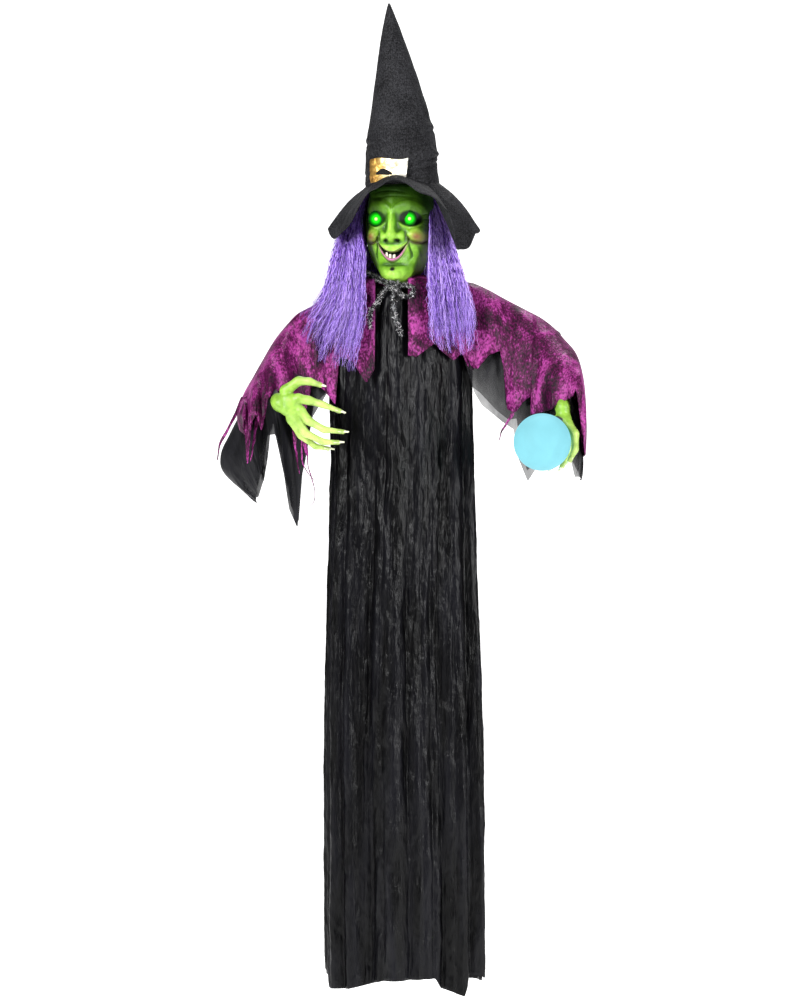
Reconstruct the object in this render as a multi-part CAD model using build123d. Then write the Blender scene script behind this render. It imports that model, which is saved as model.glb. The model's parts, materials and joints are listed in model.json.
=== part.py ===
from build123d import *

import os
from math import atan2, cos, degrees, radians, sin, tan

# A hanging animated witch, life-size, as the set of pieces it is assembled from.
# The frame: +Z is up, the witch looks along -Y, and +X is her left hand's side. The origin is the centre of the
# eye in the steel plate behind her neck, which is what she hangs by. Lengths are in millimetres, angles in degrees.

# ---------------------------------------------------------------- overall sizes
neck_setback = 48.0      # the neck's axis stands this far in front of the hanging eye
hat_top = 530.0          # tip of the hat above the hanging eye
robe_hem = -1300.0       # lowest edge of the robe
shoulder_half = 115.0    # shoulder pivot from the middle plane
shoulder_z = -10.0       # shoulder pivot height
upper_arm_length = 190.0
forearm_length = 162.0
arm_slope = {"right": 47.0, "left": 24.0}      # upper arm below the horizontal
forearm_way = {"right": (0.17, -0.925, -0.364), "left": (0.058, -0.676, -0.735)}
side_sign = {"right": -1, "left": 1}
head_yaw = -8.0          # she looks a little to her right at rest
hat_lean = -3.5          # the crown leans the same way

# ---------------------------------------------------------------- fits and walls
gap = 0.3                # between two pieces that only lie side by side
running = 0.05           # radial clearance of a pin that turns in its hole
screw_play = 0.1         # radial clearance round a screw
cloth = 2.5              # thickness that stands for a layer of cloth
box_wall = 2.5
head_wall = 2.5

spine = Vector(0, -neck_setback, 0)


def tube_between(start, end, radius):
    """A round bar from one point to another."""
    along = Vector(*end) - Vector(*start)
    plane = Plane(origin=Vector(*start), z_dir=along)
    return plane * Cylinder(radius, along.length, align=(Align.CENTER, Align.CENTER, Align.MIN))


def cone_between(start, end, radius_a, radius_b):
    """A round bar that tapers from radius_a to radius_b."""
    along = Vector(*end) - Vector(*start)
    plane = Plane(origin=Vector(*start), z_dir=along)
    if abs(radius_a - radius_b) < 0.05:
        radius_b = radius_a - 0.05
    return plane * Cone(radius_a, radius_b, along.length, align=(Align.CENTER, Align.CENTER, Align.MIN))


def limb(points, radii):
    """A jointed finger: tapered bars with a ball at each joint."""
    balls = [Pos(*p) * Sphere(r) for p, r in zip(points, radii)]
    bars = [
        cone_between(points[i], points[i + 1], radii[i] * 0.985, radii[i + 1] * 0.985)
        for i in range(len(points) - 1)
    ]
    return balls[0].fuse(*balls[1:], *bars)


def block(x0, x1, y0, y1, z0, z1):
    """A plain block between two corners."""
    return Pos((x0 + x1) / 2, (y0 + y1) / 2, (z0 + z1) / 2) * Box(x1 - x0, y1 - y0, z1 - z0)


def bar_y(x, z, y0, y1, radius):
    """A round bar along Y."""
    return tube_between((x, y0, z), (x, y1, z), radius)


def bar_z(x, y, z0, z1, radius):
    """A round bar along Z."""
    return Pos(x, y, z0) * Cylinder(radius, z1 - z0, align=(Align.CENTER, Align.CENTER, Align.MIN))


def oval_stack(sections):
    """A solid through ovals, each given as (z, half width, half depth, centre x, centre y)."""
    faces = [Pos(cx, cy, z) * Ellipse(a, b) for z, a, b, cx, cy in sections]
    return loft(faces, ruled=True)


def oval_shell(sections, wall):
    """The same, hollow, and open at the top and the bottom. Sections run downward."""
    inner = [(z - wall, a - wall, b - wall, cx, cy) for z, a, b, cx, cy in sections]
    z, a, b, cx, cy = sections[0]
    neck = Pos(cx, cy, z) * extrude(Ellipse(a - wall, b - wall), 2 * wall, both=True)
    return oval_stack(sections) - oval_stack(inner) - neck


def turned_head(shape):
    """Turns a piece of the head to where she looks at rest."""
    return Pos(*spine) * Rotation(0, 0, head_yaw) * Pos(*(spine * -1)) * shape


# ================================================================ frame, motor and hanging plate
ear_radius = 12.0
ear_thick = 6.0
ear_gap = 12.0           # between the two ears of a shoulder
bar_half_height = 13.0
bar_half_depth = ear_gap / 2 + ear_thick
shoulder_bolt_r = 3.0
hub_half = 34.0
hub_front = 34.0         # hub ahead of the neck axis
hub_top = shoulder_z + bar_half_height
hub_height = 30.0
motor_half = 19.0
motor_height = 38.0
motor_play = 2.0
hub_plate = 6.0          # hub thickness over the motor
motor_top = hub_top - hub_plate
boss_r = 8.0
shaft_r = 4.0
plate_thick = 3.0
plate_half = 14.0
eye_r = 6.0
plate_rise = 14.0
plate_screw_r = 2.5
plate_screw_head_r = 4.5
hook_room = 3.0          # below and beside the eye, for the hook that she hangs by
hook_depth = 9.0         # and in front of it, cut back into the hub
bearing_thick = 2.0
leg_height = 21.0
leg_half = 5.0
leg_x = 29.0

hub_bottom = hub_top - hub_height
hub_back = -plate_thick / 2
plate_screw_z = (-eye_r - hook_room - 3.0, hub_bottom + 5.5)
box_top = hub_bottom - leg_height
motor_bottom = motor_top - motor_height
lead_r = 1.6
lead_setback = 15.0      # from the motor's back to the middle of the lead to the eyes
lead_y = spine.Y + motor_half + lead_setback


def shoulder_yoke():
    """The moulded shoulder bar, its hub over the motor, and the ears that take the arms."""
    reach = shoulder_half - ear_radius - 1
    y0, y1 = spine.Y - bar_half_depth, spine.Y + bar_half_depth
    body = block(-reach, reach, y0, y1, shoulder_z - bar_half_height, hub_top)
    body += block(-hub_half, hub_half, spine.Y - hub_front, hub_back, hub_bottom, hub_top)
    pocket = motor_half + motor_play
    body -= block(-pocket, pocket, spine.Y - pocket, spine.Y + pocket, hub_bottom - 1, motor_top)
    body -= bar_z(0, spine.Y, motor_top - 1, hub_top + 1, boss_r + gap)
    for x in (-leg_x, leg_x):
        body += block(x - leg_half, x + leg_half, spine.Y - 12, spine.Y + 12, box_top, hub_bottom)
        body -= bar_z(x, spine.Y, box_top - 1, box_top + 14, screw_play + 1.5)
    for sign in (-1, 1):
        for inner_y, outer_y in ((-ear_gap / 2, -bar_half_depth), (ear_gap / 2, bar_half_depth)):
            low, high = sorted((spine.Y + inner_y, spine.Y + outer_y))
            ear = bar_y(sign * shoulder_half, shoulder_z, low, high, ear_radius)
            strap_x = sorted((sign * (reach - 1), sign * shoulder_half))
            ear += block(*strap_x, low, high, shoulder_z - ear_radius + 0.5, shoulder_z + ear_radius - 0.5)
            body += ear
        body -= bar_y(sign * shoulder_half, shoulder_z, y0 - 1, y1 + 1, shoulder_bolt_r + screw_play)
    for z in plate_screw_z:
        body -= bar_y(0, z, hub_back - 12, hub_back + 1, plate_screw_r + screw_play)
    side = eye_r + hook_room
    body -= block(-side, side, hub_back - hook_depth, hub_back + 1, -side, hub_top + 1)
    for x in (-12, 12):
        body -= bar_z(x, spine.Y, motor_top - 1, hub_top + 1, 1.5 + screw_play)
    body -= bar_z(9, lead_y, hub_bottom - 1, hub_top + 1, lead_r + 1)
    return body


def hanging_plate():
    """The steel plate behind the neck, with the eye at its top."""
    half, y0, y1 = plate_half, -plate_thick / 2, plate_thick / 2
    plate = block(-half, half, y0, y1, hub_bottom, 0)
    plate += bar_y(0, plate_rise - half, y0, y1, half)
    plate -= bar_y(0, 0, y0 - 1, y1 + 1, eye_r)
    for z in plate_screw_z:
        plate -= bar_y(0, z, y0 - 1, y1 + 1, plate_screw_r + screw_play)
    return plate


def hanging_plate_screws():
    """Two pan-head screws that hold the plate to the hub."""
    screws = []
    for z in plate_screw_z:
        screws.append(
            bar_y(0, z, plate_thick / 2, plate_thick / 2 + 2.6, plate_screw_head_r)
            + bar_y(0, z, hub_back - 11, plate_thick / 2, plate_screw_r)
        )
    return screws


def neck_motor():
    """The geared motor that turns the head, with the boss its shaft comes out of."""
    body = block(-motor_half, motor_half, spine.Y - motor_half, spine.Y + motor_half, motor_bottom, motor_top)
    body = fillet(body.edges().filter_by(Axis.Z), 4)
    body += bar_z(0, spine.Y, motor_top, hub_top, boss_r)
    body -= bar_z(0, spine.Y, motor_top - 14, hub_top + 1, shaft_r + running)
    for x in (-12, 12):
        body -= bar_z(x, spine.Y, motor_top - 8, motor_top + 1, 1.5 + screw_play)
    return body


def motor_screws():
    """Two screws down through the hub into the motor."""
    return [
        bar_z(x, spine.Y, motor_top - 7, hub_top, 1.5) + bar_z(x, spine.Y, hub_top, hub_top + 1.4, 2.6)
        for x in (-12, 12)
    ]


def neck_bearing():
    """The washer that the head's tube turns on."""
    ring = bar_z(0, spine.Y, hub_top, hub_top + bearing_thick, 20)
    ring -= bar_z(0, spine.Y, hub_top - 1, hub_top + bearing_thick + 1, 15.5)
    return ring


def shoulder_bolts():
    """One bolt along Y through each pair of ears."""
    bolts = []
    for sign in (-1, 1):
        x = sign * shoulder_half
        front = spine.Y - bar_half_depth
        bolts.append(
            bar_y(x, shoulder_z, front - 4, front, 5.5)
            + bar_y(x, shoulder_z, front, spine.Y + bar_half_depth + 9, shoulder_bolt_r)
        )
    return bolts


def shoulder_wing_nuts():
    """The wing nuts behind, which set how stiff each shoulder is."""
    nuts = []
    back = spine.Y + bar_half_depth
    for sign in (-1, 1):
        x = sign * shoulder_half
        nut = bar_y(x, shoulder_z, back, back + 6, 6)
        nut += block(x - 11, x + 11, back + 1.5, back + 4.5, shoulder_z - 1.6, shoulder_z + 1.6)
        nut -= bar_y(x, shoulder_z, back - 1, back + 7, shoulder_bolt_r + running)
        nuts.append(nut)
    return nuts


# ================================================================ control box
box_half = 55.0
box_height = 130.0
box_front = -78.0
box_back = -20.0
box_bottom = box_top - box_height
cover_thick = 3.0
corner_post = 5.0
cell_r = 7.2
cell_length = 50.0
cell_pitch = 16.5
cell_y = box_back - box_wall - cell_r - 1.2
cells_mid_z = box_top - 62
partition_y = cell_y - cell_r - 1.5
door_half = 32.0
door_height = 62.0
door_thick = 2.6
rail_lip = 3.0
door_travel = 60.0
speaker_r = 23.0
speaker_z = box_top - 32
board_z = box_bottom + 30
switch_y = (box_front + partition_y) / 2
switch_travel = 8.0
cover_screw_x = box_half - 6
cover_screws_z = (box_top - 7, box_bottom + 7)
sensor_x = 32.0


def control_box_shell():
    """The box under the yoke: speaker and board in front, cells behind, door rails on its back."""
    shell = block(-box_half, box_half, box_front, box_back, box_bottom, box_top)
    shell = fillet(shell.edges().filter_by(Axis.Y), 6)
    inner = block(
        -box_half + box_wall, box_half - box_wall, box_front - 1, box_back - box_wall,
        box_bottom + box_wall, box_top - box_wall,
    )
    shell -= inner
    for x in (-cover_screw_x, cover_screw_x):
        for z in cover_screws_z:
            post = bar_y(x, z, box_front, box_back - 1, corner_post)
            shell += post
            shell -= bar_y(x, z, box_front - 1, box_front + 14, 1.5 + screw_play)
    shell += block(
        -box_half + 1, box_half - 1, partition_y - 1.6, partition_y, box_bottom + 1, box_top - 1
    )
    half = door_half - 3
    shell -= block(
        -half, half, box_back - box_wall - 1, box_back + 1,
        cells_mid_z - door_height / 2 + 4, cells_mid_z + door_height / 2 - 3,
    )
    low, high = cells_mid_z - door_height / 2 - 2, cells_mid_z + door_height / 2 + 2
    back = box_back + door_thick + 2 * gap
    for sign in (-1, 1):
        rail = sorted((sign * (door_half + gap), sign * (door_half + gap + 2.5)))
        lip = sorted((sign * (door_half - rail_lip), sign * (door_half + gap + 2.5)))
        shell += block(*rail, box_back - 1, back + 2, low, high)
        shell += block(*lip, back, back + 2, low, high)
    for x in (-leg_x, leg_x):
        shell -= bar_z(x, spine.Y, box_top - box_wall - 1, box_top + 1, 1.5 + screw_play)
    slot = switch_travel / 2 + 3 + gap
    shell -= block(-slot, slot, switch_y - 2.5 - gap, switch_y + 2.5 + gap, box_bottom - 1, box_bottom + box_wall + 1)
    shell -= bar_z(9, lead_y - 12, box_top - box_wall - 1, box_top + 1, lead_r + 0.6)
    return shell


def control_box_cover():
    """The front cover, with the speaker's grille and the hole of the sound sensor."""
    y0, y1 = box_front - cover_thick, box_front
    cover = block(-box_half, box_half, y0, y1, box_bottom, box_top)
    cover = fillet(cover.edges().filter_by(Axis.Y), 6)
    holes = [bar_y(0, speaker_z, y0 - 1, y1 + 1, 1.6)]
    for ring, count in ((6.5, 6), (13, 12), (19, 18)):
        for k in range(count):
            turn = radians(360 * k / count)
            holes.append(bar_y(ring * cos(turn), speaker_z + ring * sin(turn), y0 - 1, y1 + 1, 1.6))
    for x in (-cover_screw_x, cover_screw_x):
        for z in cover_screws_z:
            holes.append(bar_y(x, z, y0 - 1, y1 + 1, 1.5 + screw_play))
    holes.append(bar_y(sensor_x, board_z + 8, y0 - 1, y1 + 1, 3 + gap))
    return cover.cut(*holes)


def control_box_screws():
    """Four cover screws from the front, and two up into the yoke's legs."""
    front = box_front - cover_thick
    screws = []
    for x in (-cover_screw_x, cover_screw_x):
        for z in cover_screws_z:
            screws.append(bar_y(x, z, front - 1.6, front, 3) + bar_y(x, z, front, box_front + 12, 1.5))
    under = box_top - box_wall
    for x in (-leg_x, leg_x):
        screws.append(bar_z(x, spine.Y, under - 1.8, under, 3) + bar_z(x, spine.Y, under, box_top + 12, 1.5))
    return screws


def speaker():
    """A small loudspeaker: frame, cone space and magnet."""
    body = bar_y(0, speaker_z, box_front, box_front + 4, speaker_r)
    body += cone_between(
        (0, box_front + 4, speaker_z), (0, box_front + 12, speaker_z), speaker_r - 2, 11
    )
    body += bar_y(0, speaker_z, box_front + 12, box_front + 18, 11)
    body -= cone_between((0, box_front - 0.1, speaker_z), (0, box_front + 9, speaker_z), speaker_r - 4, 6)
    return body


def circuit_board():
    """The board with its chip and capacitor, standing behind the cover."""
    y = box_front + 9
    board = block(-38, 38, y, y + 1.6, board_z - 20, board_z + 20)
    board += block(-14, 2, y - 2.2, y, board_z - 6, board_z + 8)
    board += bar_y(16, board_z + 4, y - 7, y, 4)
    board += block(-30, -22, y - 4, y, board_z - 12, board_z + 2)
    return board


def sound_sensor():
    """The microphone that hears someone pass, seated in the cover."""
    y = box_front + 9
    return bar_y(sensor_x, board_z + 8, box_front - cover_thick, y, 3)


def battery_cells():
    """Three cells side by side, each with its button."""
    cells = []
    for k in (-1, 0, 1):
        z = cells_mid_z + k * cell_pitch
        half = cell_length / 2
        sign = 1 if k else -1
        cell = tube_between((-half, cell_y, z), (half, cell_y, z), cell_r)
        cell += tube_between((sign * half, cell_y, z), (sign * (half + 1.2), cell_y, z), 2.6)
        cells.append(cell)
    return cells


def battery_contacts():
    """Plated contacts on each side of the cells, bent tabs that touch neither the wall nor a cell's side."""
    tabs = []
    for sign in (-1, 1):
        inner, outer = cell_length / 2 + 1.4, cell_length / 2 + 2.2
        for k in (-1, 0, 1):
            z = cells_mid_z + k * cell_pitch
            xs = sorted((sign * inner, sign * outer))
            tabs.append(block(*xs, partition_y, cell_y + 5, z - 5, z + 5))
    return tabs


def battery_door():
    """The cover over the cells, which slides down in its rails."""
    y0 = box_back + gap
    z0, z1 = cells_mid_z - door_height / 2, cells_mid_z + door_height / 2
    door = block(-door_half, door_half, y0, y0 + door_thick, z0, z1)
    for k in range(4):
        z = z1 - 10 - 3.5 * k
        door += block(-10, 10, y0 + door_thick - 0.1, y0 + door_thick + 0.8, z, z + 1.5)
    return door


def power_slider():
    """The three-way slider in the bottom of the box, at OFF."""
    x = -switch_travel / 2
    knob = block(x - 3, x + 3, switch_y - 2.5, switch_y + 2.5, box_bottom - 4, box_bottom + box_wall + gap)
    flange_z = box_bottom + box_wall + gap
    knob += block(x - 7, x + 7, switch_y - 4.5, switch_y + 4.5, flange_z, flange_z + 1.6)
    return knob


# ================================================================ head
head_half = 60.0
head_depth = 86.0
chin_z = 14.0
head_centre = Vector(0, spine.Y - 10, 120)
head_half_height = head_centre.Z - chin_z
seam_y = head_centre.Y + 6
eye_x = 31.0
eye_z = 127.0
eye_hole_r = 14.0
lamp_r = 2.6
eye_cup_depth = 20.0
lamp_back = head_centre.Y - 56
neck_tube_r = 20.0
neck_tube_wall = 3.5
neck_bottom = hub_top + bearing_thick
neck_top = 62.0
lead_slot = (9.0, 6.0, 20.0)     # half width, lowest and highest edge above the tube's foot
mouth_z = 72.0
tooth_half = 2.6
cheek_r = 20.0
cheek_x = head_half - 25.0       # so that a cheek stays inside the head's side


def ellipsoid(half_x, half_y, half_z, centre):
    """An ellipsoid about a point."""
    return Pos(*centre) * scale(Sphere(1), by=(half_x, half_y, half_z))


def head_form(inset):
    """The outer shape of the head, or that shape drawn in by inset."""
    return ellipsoid(head_half - inset, head_depth - inset, head_half_height - inset, head_centre)


def head_shells():
    """(face, back of head): two hollow mouldings that meet at a seam in front of the ears."""
    c = head_centre
    outer = head_form(0)
    features = [
        ellipsoid(10, 14, 26, (0, c.Y - 80, 118)),                       # nose bridge
        Pos(0, c.Y - 94, 98) * Sphere(10),                               # nose tip
        Pos(-cheek_x, c.Y - 54, 104) * Sphere(cheek_r),
        Pos(cheek_x, c.Y - 54, 104) * Sphere(cheek_r),
        ellipsoid(24, 18, 17, (0, c.Y - 48, 38)),                        # chin
        Pos(-9, c.Y - 64, 42) * Sphere(4.5),                             # wart
    ]
    whole = outer.fuse(*features) - head_form(head_wall)
    whole -= bar_z(0, spine.Y, -20, 60, neck_tube_r + gap)
    for x in (-eye_x, eye_x):
        whole -= bar_y(x, eye_z, c.Y - 130, c.Y - 40, eye_hole_r)
    whole -= block(-20, 20, c.Y - 130, c.Y - 40, mouth_z - 7, mouth_z + 5)
    big = 200
    front = whole & block(-big, big, c.Y - big, seam_y - gap / 2, chin_z - 20, 300)
    back = whole & block(-big, big, seam_y + gap / 2, c.Y + big, chin_z - 20, 300)
    return front, back


def neck_tube():
    """The tube that carries the head, with a floor that is keyed on the motor's shaft."""
    tube = bar_z(0, spine.Y, neck_bottom, neck_top, neck_tube_r)
    tube -= bar_z(0, spine.Y, neck_bottom + 5, neck_top + 1, neck_tube_r - neck_tube_wall)
    tube -= bar_z(0, spine.Y, neck_bottom - 1, neck_bottom + 6, shaft_r)
    half, low, high = lead_slot
    tube -= block(-half, half, spine.Y + 10, spine.Y + neck_tube_r + 1, neck_bottom + low, neck_bottom + high)
    return tube


def neck_shaft():
    """The motor's output shaft, up into the tube's floor."""
    return bar_z(0, spine.Y, motor_top - 13, neck_bottom + 9, shaft_r)


def eye_holders():
    """The dark cups behind the eye holes."""
    cups = []
    back = lamp_back
    y = back - eye_cup_depth
    for x in (-eye_x, eye_x):
        cup = bar_y(x, eye_z, y, back, eye_hole_r - gap)
        cup -= cone_between((x, y - 0.1, eye_z), (x, back - 3, eye_z), eye_hole_r - 1.6, lamp_r + 3)
        cup -= bar_y(x, eye_z, back - 4, back + 1, lamp_r + gap)
        cups.append(cup)
    return cups


def eye_lamps():
    """A round-nosed light-emitting diode in each cup, with its flange and legs."""
    lamps = []
    nose = lamp_back - 11
    for x in (-eye_x, eye_x):
        lamp = bar_y(x, eye_z, nose, lamp_back, lamp_r)
        lamp += Pos(x, nose, eye_z) * Sphere(lamp_r)
        lamp += bar_y(x, eye_z, lamp_back, lamp_back + 1, lamp_r + 0.6)
        lamps.append(lamp)
    return lamps


def inner_face(x, z):
    """Where the inside of the face lies at a place across and up it."""
    a, b, c = head_half - head_wall, head_depth - head_wall, head_half_height - head_wall
    return head_centre.Y - b * (1 - (x / a) ** 2 - ((z - head_centre.Z) / c) ** 2) ** 0.5


def teeth():
    """The three teeth on a strip behind the lower lip."""
    half, low = 16, mouth_z - 14
    y = inner_face(half, low) + gap
    strip = block(-half, half, y, y + 4, low, low + 5)
    for x in (-9, -3, 6):
        strip += block(x - tooth_half, x + tooth_half, y, y + 4, low + 4, mouth_z - 2)
    return strip


def lead_between(points, radius, bends):
    """A lead of one thickness along a route with rounded corners."""
    path = FilletPolyline(*points, radius=bends) if len(points) > 2 else Line(*points)
    return sweep(Plane(origin=path @ 0, z_dir=path % 0) * Circle(radius), path=path)


def eye_lead():
    """The lead from the box up through the neck to both eyes, in three stretches that touch at the splice."""
    inside_y = spine.Y + 6
    splice_z = neck_top + 20
    under_y = lead_y - 12
    up = lead_between(
        [
            (9, under_y, box_top - box_wall - 4), (9, under_y, hub_bottom - 12), (9, lead_y, hub_bottom - 2),
            (9, lead_y, hub_top + 8), (0, inside_y, neck_bottom + 12), (0, inside_y, splice_z),
        ],
        lead_r, [4, 4, 5, 6],
    )
    pieces = [up]
    lamp_end = lamp_back + 1.2
    for sign in (-1, 1):
        branch = lead_between(
            [
                (sign * 2, inside_y, splice_z + 2), (sign * 6, inside_y, splice_z + 28),
                (sign * eye_x, lamp_end + 24, eye_z), (sign * eye_x, lamp_end, eye_z),
            ],
            lead_r * 0.7, [8, 10],
        )
        pieces.append(turned_head(branch))
    return pieces


# ================================================================ hair
wig_wall = 3.0


def wig_cap():
    """The knitted cap on the skull that the hair is sewn to."""
    outer = head_form(-wig_wall - gap)
    cap = outer - head_form(-gap)
    big = 200
    cap &= block(-big, big, head_centre.Y - 20, head_centre.Y + big, 90, 300)
    return cap


def curtain(levels):
    """A hank of hair: a solid through rectangles, each (z, x0, x1, y0, y1) with x from the middle outward."""
    faces = []
    for z, x0, x1, y0, y1 in levels:
        faces.append(Pos((x0 + x1) / 2, (y0 + y1) / 2, z) * RectangleRounded(x1 - x0, y1 - y0, 6))
    return loft(faces, ruled=True)


def mirrored_levels(levels):
    """The same hank on the other side of the middle plane."""
    return [(z, -x1, -x0, y0, y1) for z, x0, x1, y0, y1 in levels]


hair_depth = 30.0
hair_clear = 6.0
cape_half_depth = 71.0   # at its hem, which is its deepest
chest_front = spine.Y - cape_half_depth - hair_clear      # ahead of the cape, all the way down


def front_hair_levels(spread, low_in, low_out, bottom):
    """A hank that leaves the head beside the cheek and falls in front of the shoulder."""
    beside = head_half + 8
    return [
        (144, beside, beside + 22, spine.Y - 30, spine.Y + 20),
        (100, beside, beside + 44, spine.Y - 55, spine.Y + 15),
        (42, beside, spread - 20, spine.Y - 80, spine.Y + 4),
        (20, beside - 2, spread, chest_front - hair_depth, chest_front),
        (-60, low_in - 8, low_out + 14, chest_front - hair_depth, chest_front),
        (bottom, low_in, low_out, chest_front - hair_depth + 6, chest_front),
    ]


def hair_right_front():
    """The hank over her right shoulder, the longer of the two."""
    return curtain(mirrored_levels(front_hair_levels(146, 84, 162, -138)))


def hair_left_front():
    """The hank over her left shoulder."""
    return curtain(front_hair_levels(134, 64, 140, -106))


def back_hair_levels():
    """A hank down the back, parted from its twin so that the hanging eye stays free."""
    behind = spine.Y + cape_half_depth + hair_clear
    nape = head_centre.Y + head_depth + 8
    return [
        (172, 1, 52, nape, nape + 20),
        (100, 1, 66, nape, nape + 22),
        (45, 2, 74, nape - 6, nape + 20),
        (28, 24, 78, behind, behind + 22),
        (-110, 26, 92, behind, behind + 22),
    ]


def hair_right_back():
    """The hank down the right of her back."""
    return curtain(mirrored_levels(back_hair_levels()))


def hair_left_back():
    """The hank down the left of her back."""
    return curtain(back_hair_levels())


# ================================================================ hat
crown_base_r = 67.0
band_low = 210.0
band_high = 244.0
crown_base_z = 206.0
straight_top = 256.0
straight_top_r = 64.5
brim_half_x = 142.0
brim_half_y = 148.0
brim_flat = 62.0         # half width of the level strip across the brim
brim_drop = 94.0         # how far the sides hang below the crown
buckle_width = 66.0
hat_axis = Vector(8, head_centre.Y - 2, crown_base_z)


def set_hat(shape):
    """Places a piece of the hat, drawn about its own axis at height zero, on the turned head."""
    return turned_head(Pos(*hat_axis) * Rotation(0, hat_lean, 0) * shape)


def crown_profile(inset):
    """Half of the crown's outline: straight where the band sits, then one curve to the tip."""
    rise = hat_top - crown_base_z
    straight = straight_top - crown_base_z
    tip = Vector(0.01, rise - inset * 5)
    low = Vector(crown_base_r - inset, 0)
    bend = Vector(straight_top_r - inset, straight)
    mid = Vector(0.63 * straight_top_r - inset, straight + 0.53 * (rise - straight))
    side = Line(low, bend)
    curve = Spline(bend, mid, tip, tangents=[(bend - low).normalized(), Vector(-0.26, 1)])
    edges = [side, curve, Line(tip, Vector(0.01, 0)), Line(Vector(0.01, 0), low)]
    return make_face(Curve() + edges)


def revolved(face):
    """Turns a flat outline in x and y round the z axis."""
    return revolve(Plane.XZ * face, Axis.Z)


def hat_crown():
    """The tall crown, a hollow cloth cone open below."""
    return set_hat(revolved(crown_profile(0)) - Pos(0, 0, -1) * revolved(crown_profile(cloth)))


def brim_edge():
    """The solid that trims the brim to its oval, less the crown's foot."""
    outline = Ellipse(brim_half_x, brim_half_y) - Circle(crown_base_r + gap)
    return Pos(0, 0, -200) * extrude(outline, 300)


def hat_brim():
    """The brim: level across the front and back, hanging at both sides."""
    run = brim_half_x - brim_flat
    slope = degrees(atan2(brim_drop, run))
    out = (run + 20) * cos(radians(slope)), (run + 20) * sin(radians(slope))
    nx, nz = cloth * sin(radians(slope)), cloth * cos(radians(slope))
    points = [
        (-brim_flat - out[0], -out[1]), (-brim_flat, 0), (brim_flat, 0), (brim_flat + out[0], -out[1]),
        (brim_flat + out[0] - nx, -out[1] - nz), (brim_flat - cloth * tan(radians(slope / 2)), -cloth),
        (-brim_flat + cloth * tan(radians(slope / 2)), -cloth), (-brim_flat - out[0] + nx, -out[1] - nz),
    ]
    strip = extrude(Plane.XZ * make_face(Polyline(*points, close=True)), 400, both=True)
    return set_hat(strip & brim_edge())


def hat_band():
    """The satin band round the foot of the crown."""
    def radius(z):
        return crown_base_r + (straight_top_r - crown_base_r) * (z - crown_base_z) / (straight_top - crown_base_z)

    low, high = band_low - crown_base_z, band_high - crown_base_z
    rl, rh = radius(band_low) + gap, radius(band_high) + gap
    outline = make_face(Polyline((rl, low), (rl + cloth, low), (rh + cloth, high), (rh, high), close=True))
    return set_hat(revolved(outline))


def hat_buckle():
    """The gold buckle on the front of the band: a bent frame round one slot."""
    high, low = band_high - crown_base_z + 9, band_low - crown_base_z - 4
    r = crown_base_r + cloth + 2 * gap
    ring = bar_z(0, 0, low, high, r + 2) - bar_z(0, 0, low - 1, high + 1, r)
    turn = degrees(buckle_width / r) / 2
    side = 300 * tan(radians(turn))
    wedge = extrude(Polygon((0, 0), (-side, -300), (side, -300), align=None), high + 10)
    plate = ring & Pos(0, 0, low - 1) * wedge
    plate -= block(-14, 14, -r - 10, 0, (low + high) / 2 - 4, (low + high) / 2 + 4)
    return set_hat(Rotation(0, 0, -14) * plate)


# ================================================================ robe, cape and tie
robe_lean = 13.0         # how far the hem has swung to her left
armhole_r = 40.0


def robe_sections():
    """The ovals that the robe hangs through, from the neck to the hem."""
    y = spine.Y
    chest, length = shoulder_half + 18, -robe_hem
    return [
        (hub_top + 9, 46, 40, 0, y),
        (hub_top + 4, 84, 56, 0, y),
        (hub_top - 15, 100, 58, 0, y),
        (-50, chest - 13, 61, 0, y),
        (-150, chest, 65, 0.2 * robe_lean, y),
        (-0.24 * length, chest - 2, 65, 0.6 * robe_lean, y),
        (-0.58 * length, chest + 11, 70, 0.8 * robe_lean, y),
        (robe_hem, chest + 12, 76, robe_lean, y),
    ]


def plate_slit():
    """The slot in robe and cape that the hanging plate comes out of."""
    side = plate_half + 3
    return block(-side, side, -plate_thick / 2 - 3, 60, hub_bottom - 2, 60)


def robe():
    """The long gown: a hanging shell open at the hem, the neck and both armholes."""
    shell = oval_shell(robe_sections(), cloth)
    shell = shell.cut(*(
        tube_between((sign * 68, spine.Y, shoulder_z - 4), (sign * 200, spine.Y, shoulder_z - 4), armhole_r)
        for sign in (-1, 1)
    ))
    return shell - plate_slit()


cape_bottom = -150.0
lapel_left = 19.0
lapel_right = -44.0


def cape():
    """The velvet capelet over both shoulders, open in front, its hem cut in points."""
    y = spine.Y
    top = hub_top + 10
    ear_reach = shoulder_half + ear_radius
    sections = [
        (top + 3, 70, 57, 0, y),
        (top, ear_reach - 4, 60, 0, y),
        (top - 6, ear_reach + 13, 62, 0, y),
        (-50, ear_reach + 17, 66, 0, y),
        (cape_bottom, ear_reach + 20, cape_half_depth, 0, y),
    ]
    shell = oval_shell(sections, cloth)
    shell -= block(lapel_right, lapel_left, y - 200, y, cape_bottom - 5, top + 10)
    openings = []
    for sign in (-1, 1):
        xs = sorted((sign * (ear_reach - 6), sign * 250))
        openings.append(block(*xs, y - 50, y + 50, cape_bottom - 5, shoulder_z + 3))
    points = []
    for x, half, rise in (
        (-82, 16, 44), (48, 14, 34), (86, 16, 50), (-108, 10, 30), (0, 18, 40), (112, 10, 36),
    ):
        spike = Polygon((x - half, cape_bottom - 2), (x + half, cape_bottom - 2), (x, cape_bottom + rise), align=None)
        front = (y - 200, y) if x != 0 else (y, y + 200)
        points.append(Pos(0, front[1], 0) * extrude(Plane.XZ * spike, front[1] - front[0]))
    return shell.cut(*openings, *points) - plate_slit()


tie_ring_r = 46.0
tie_thick = 4.0
tie_tilt = 6.0
tie_rise = 19.5          # middle of the tie above the hub


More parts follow.
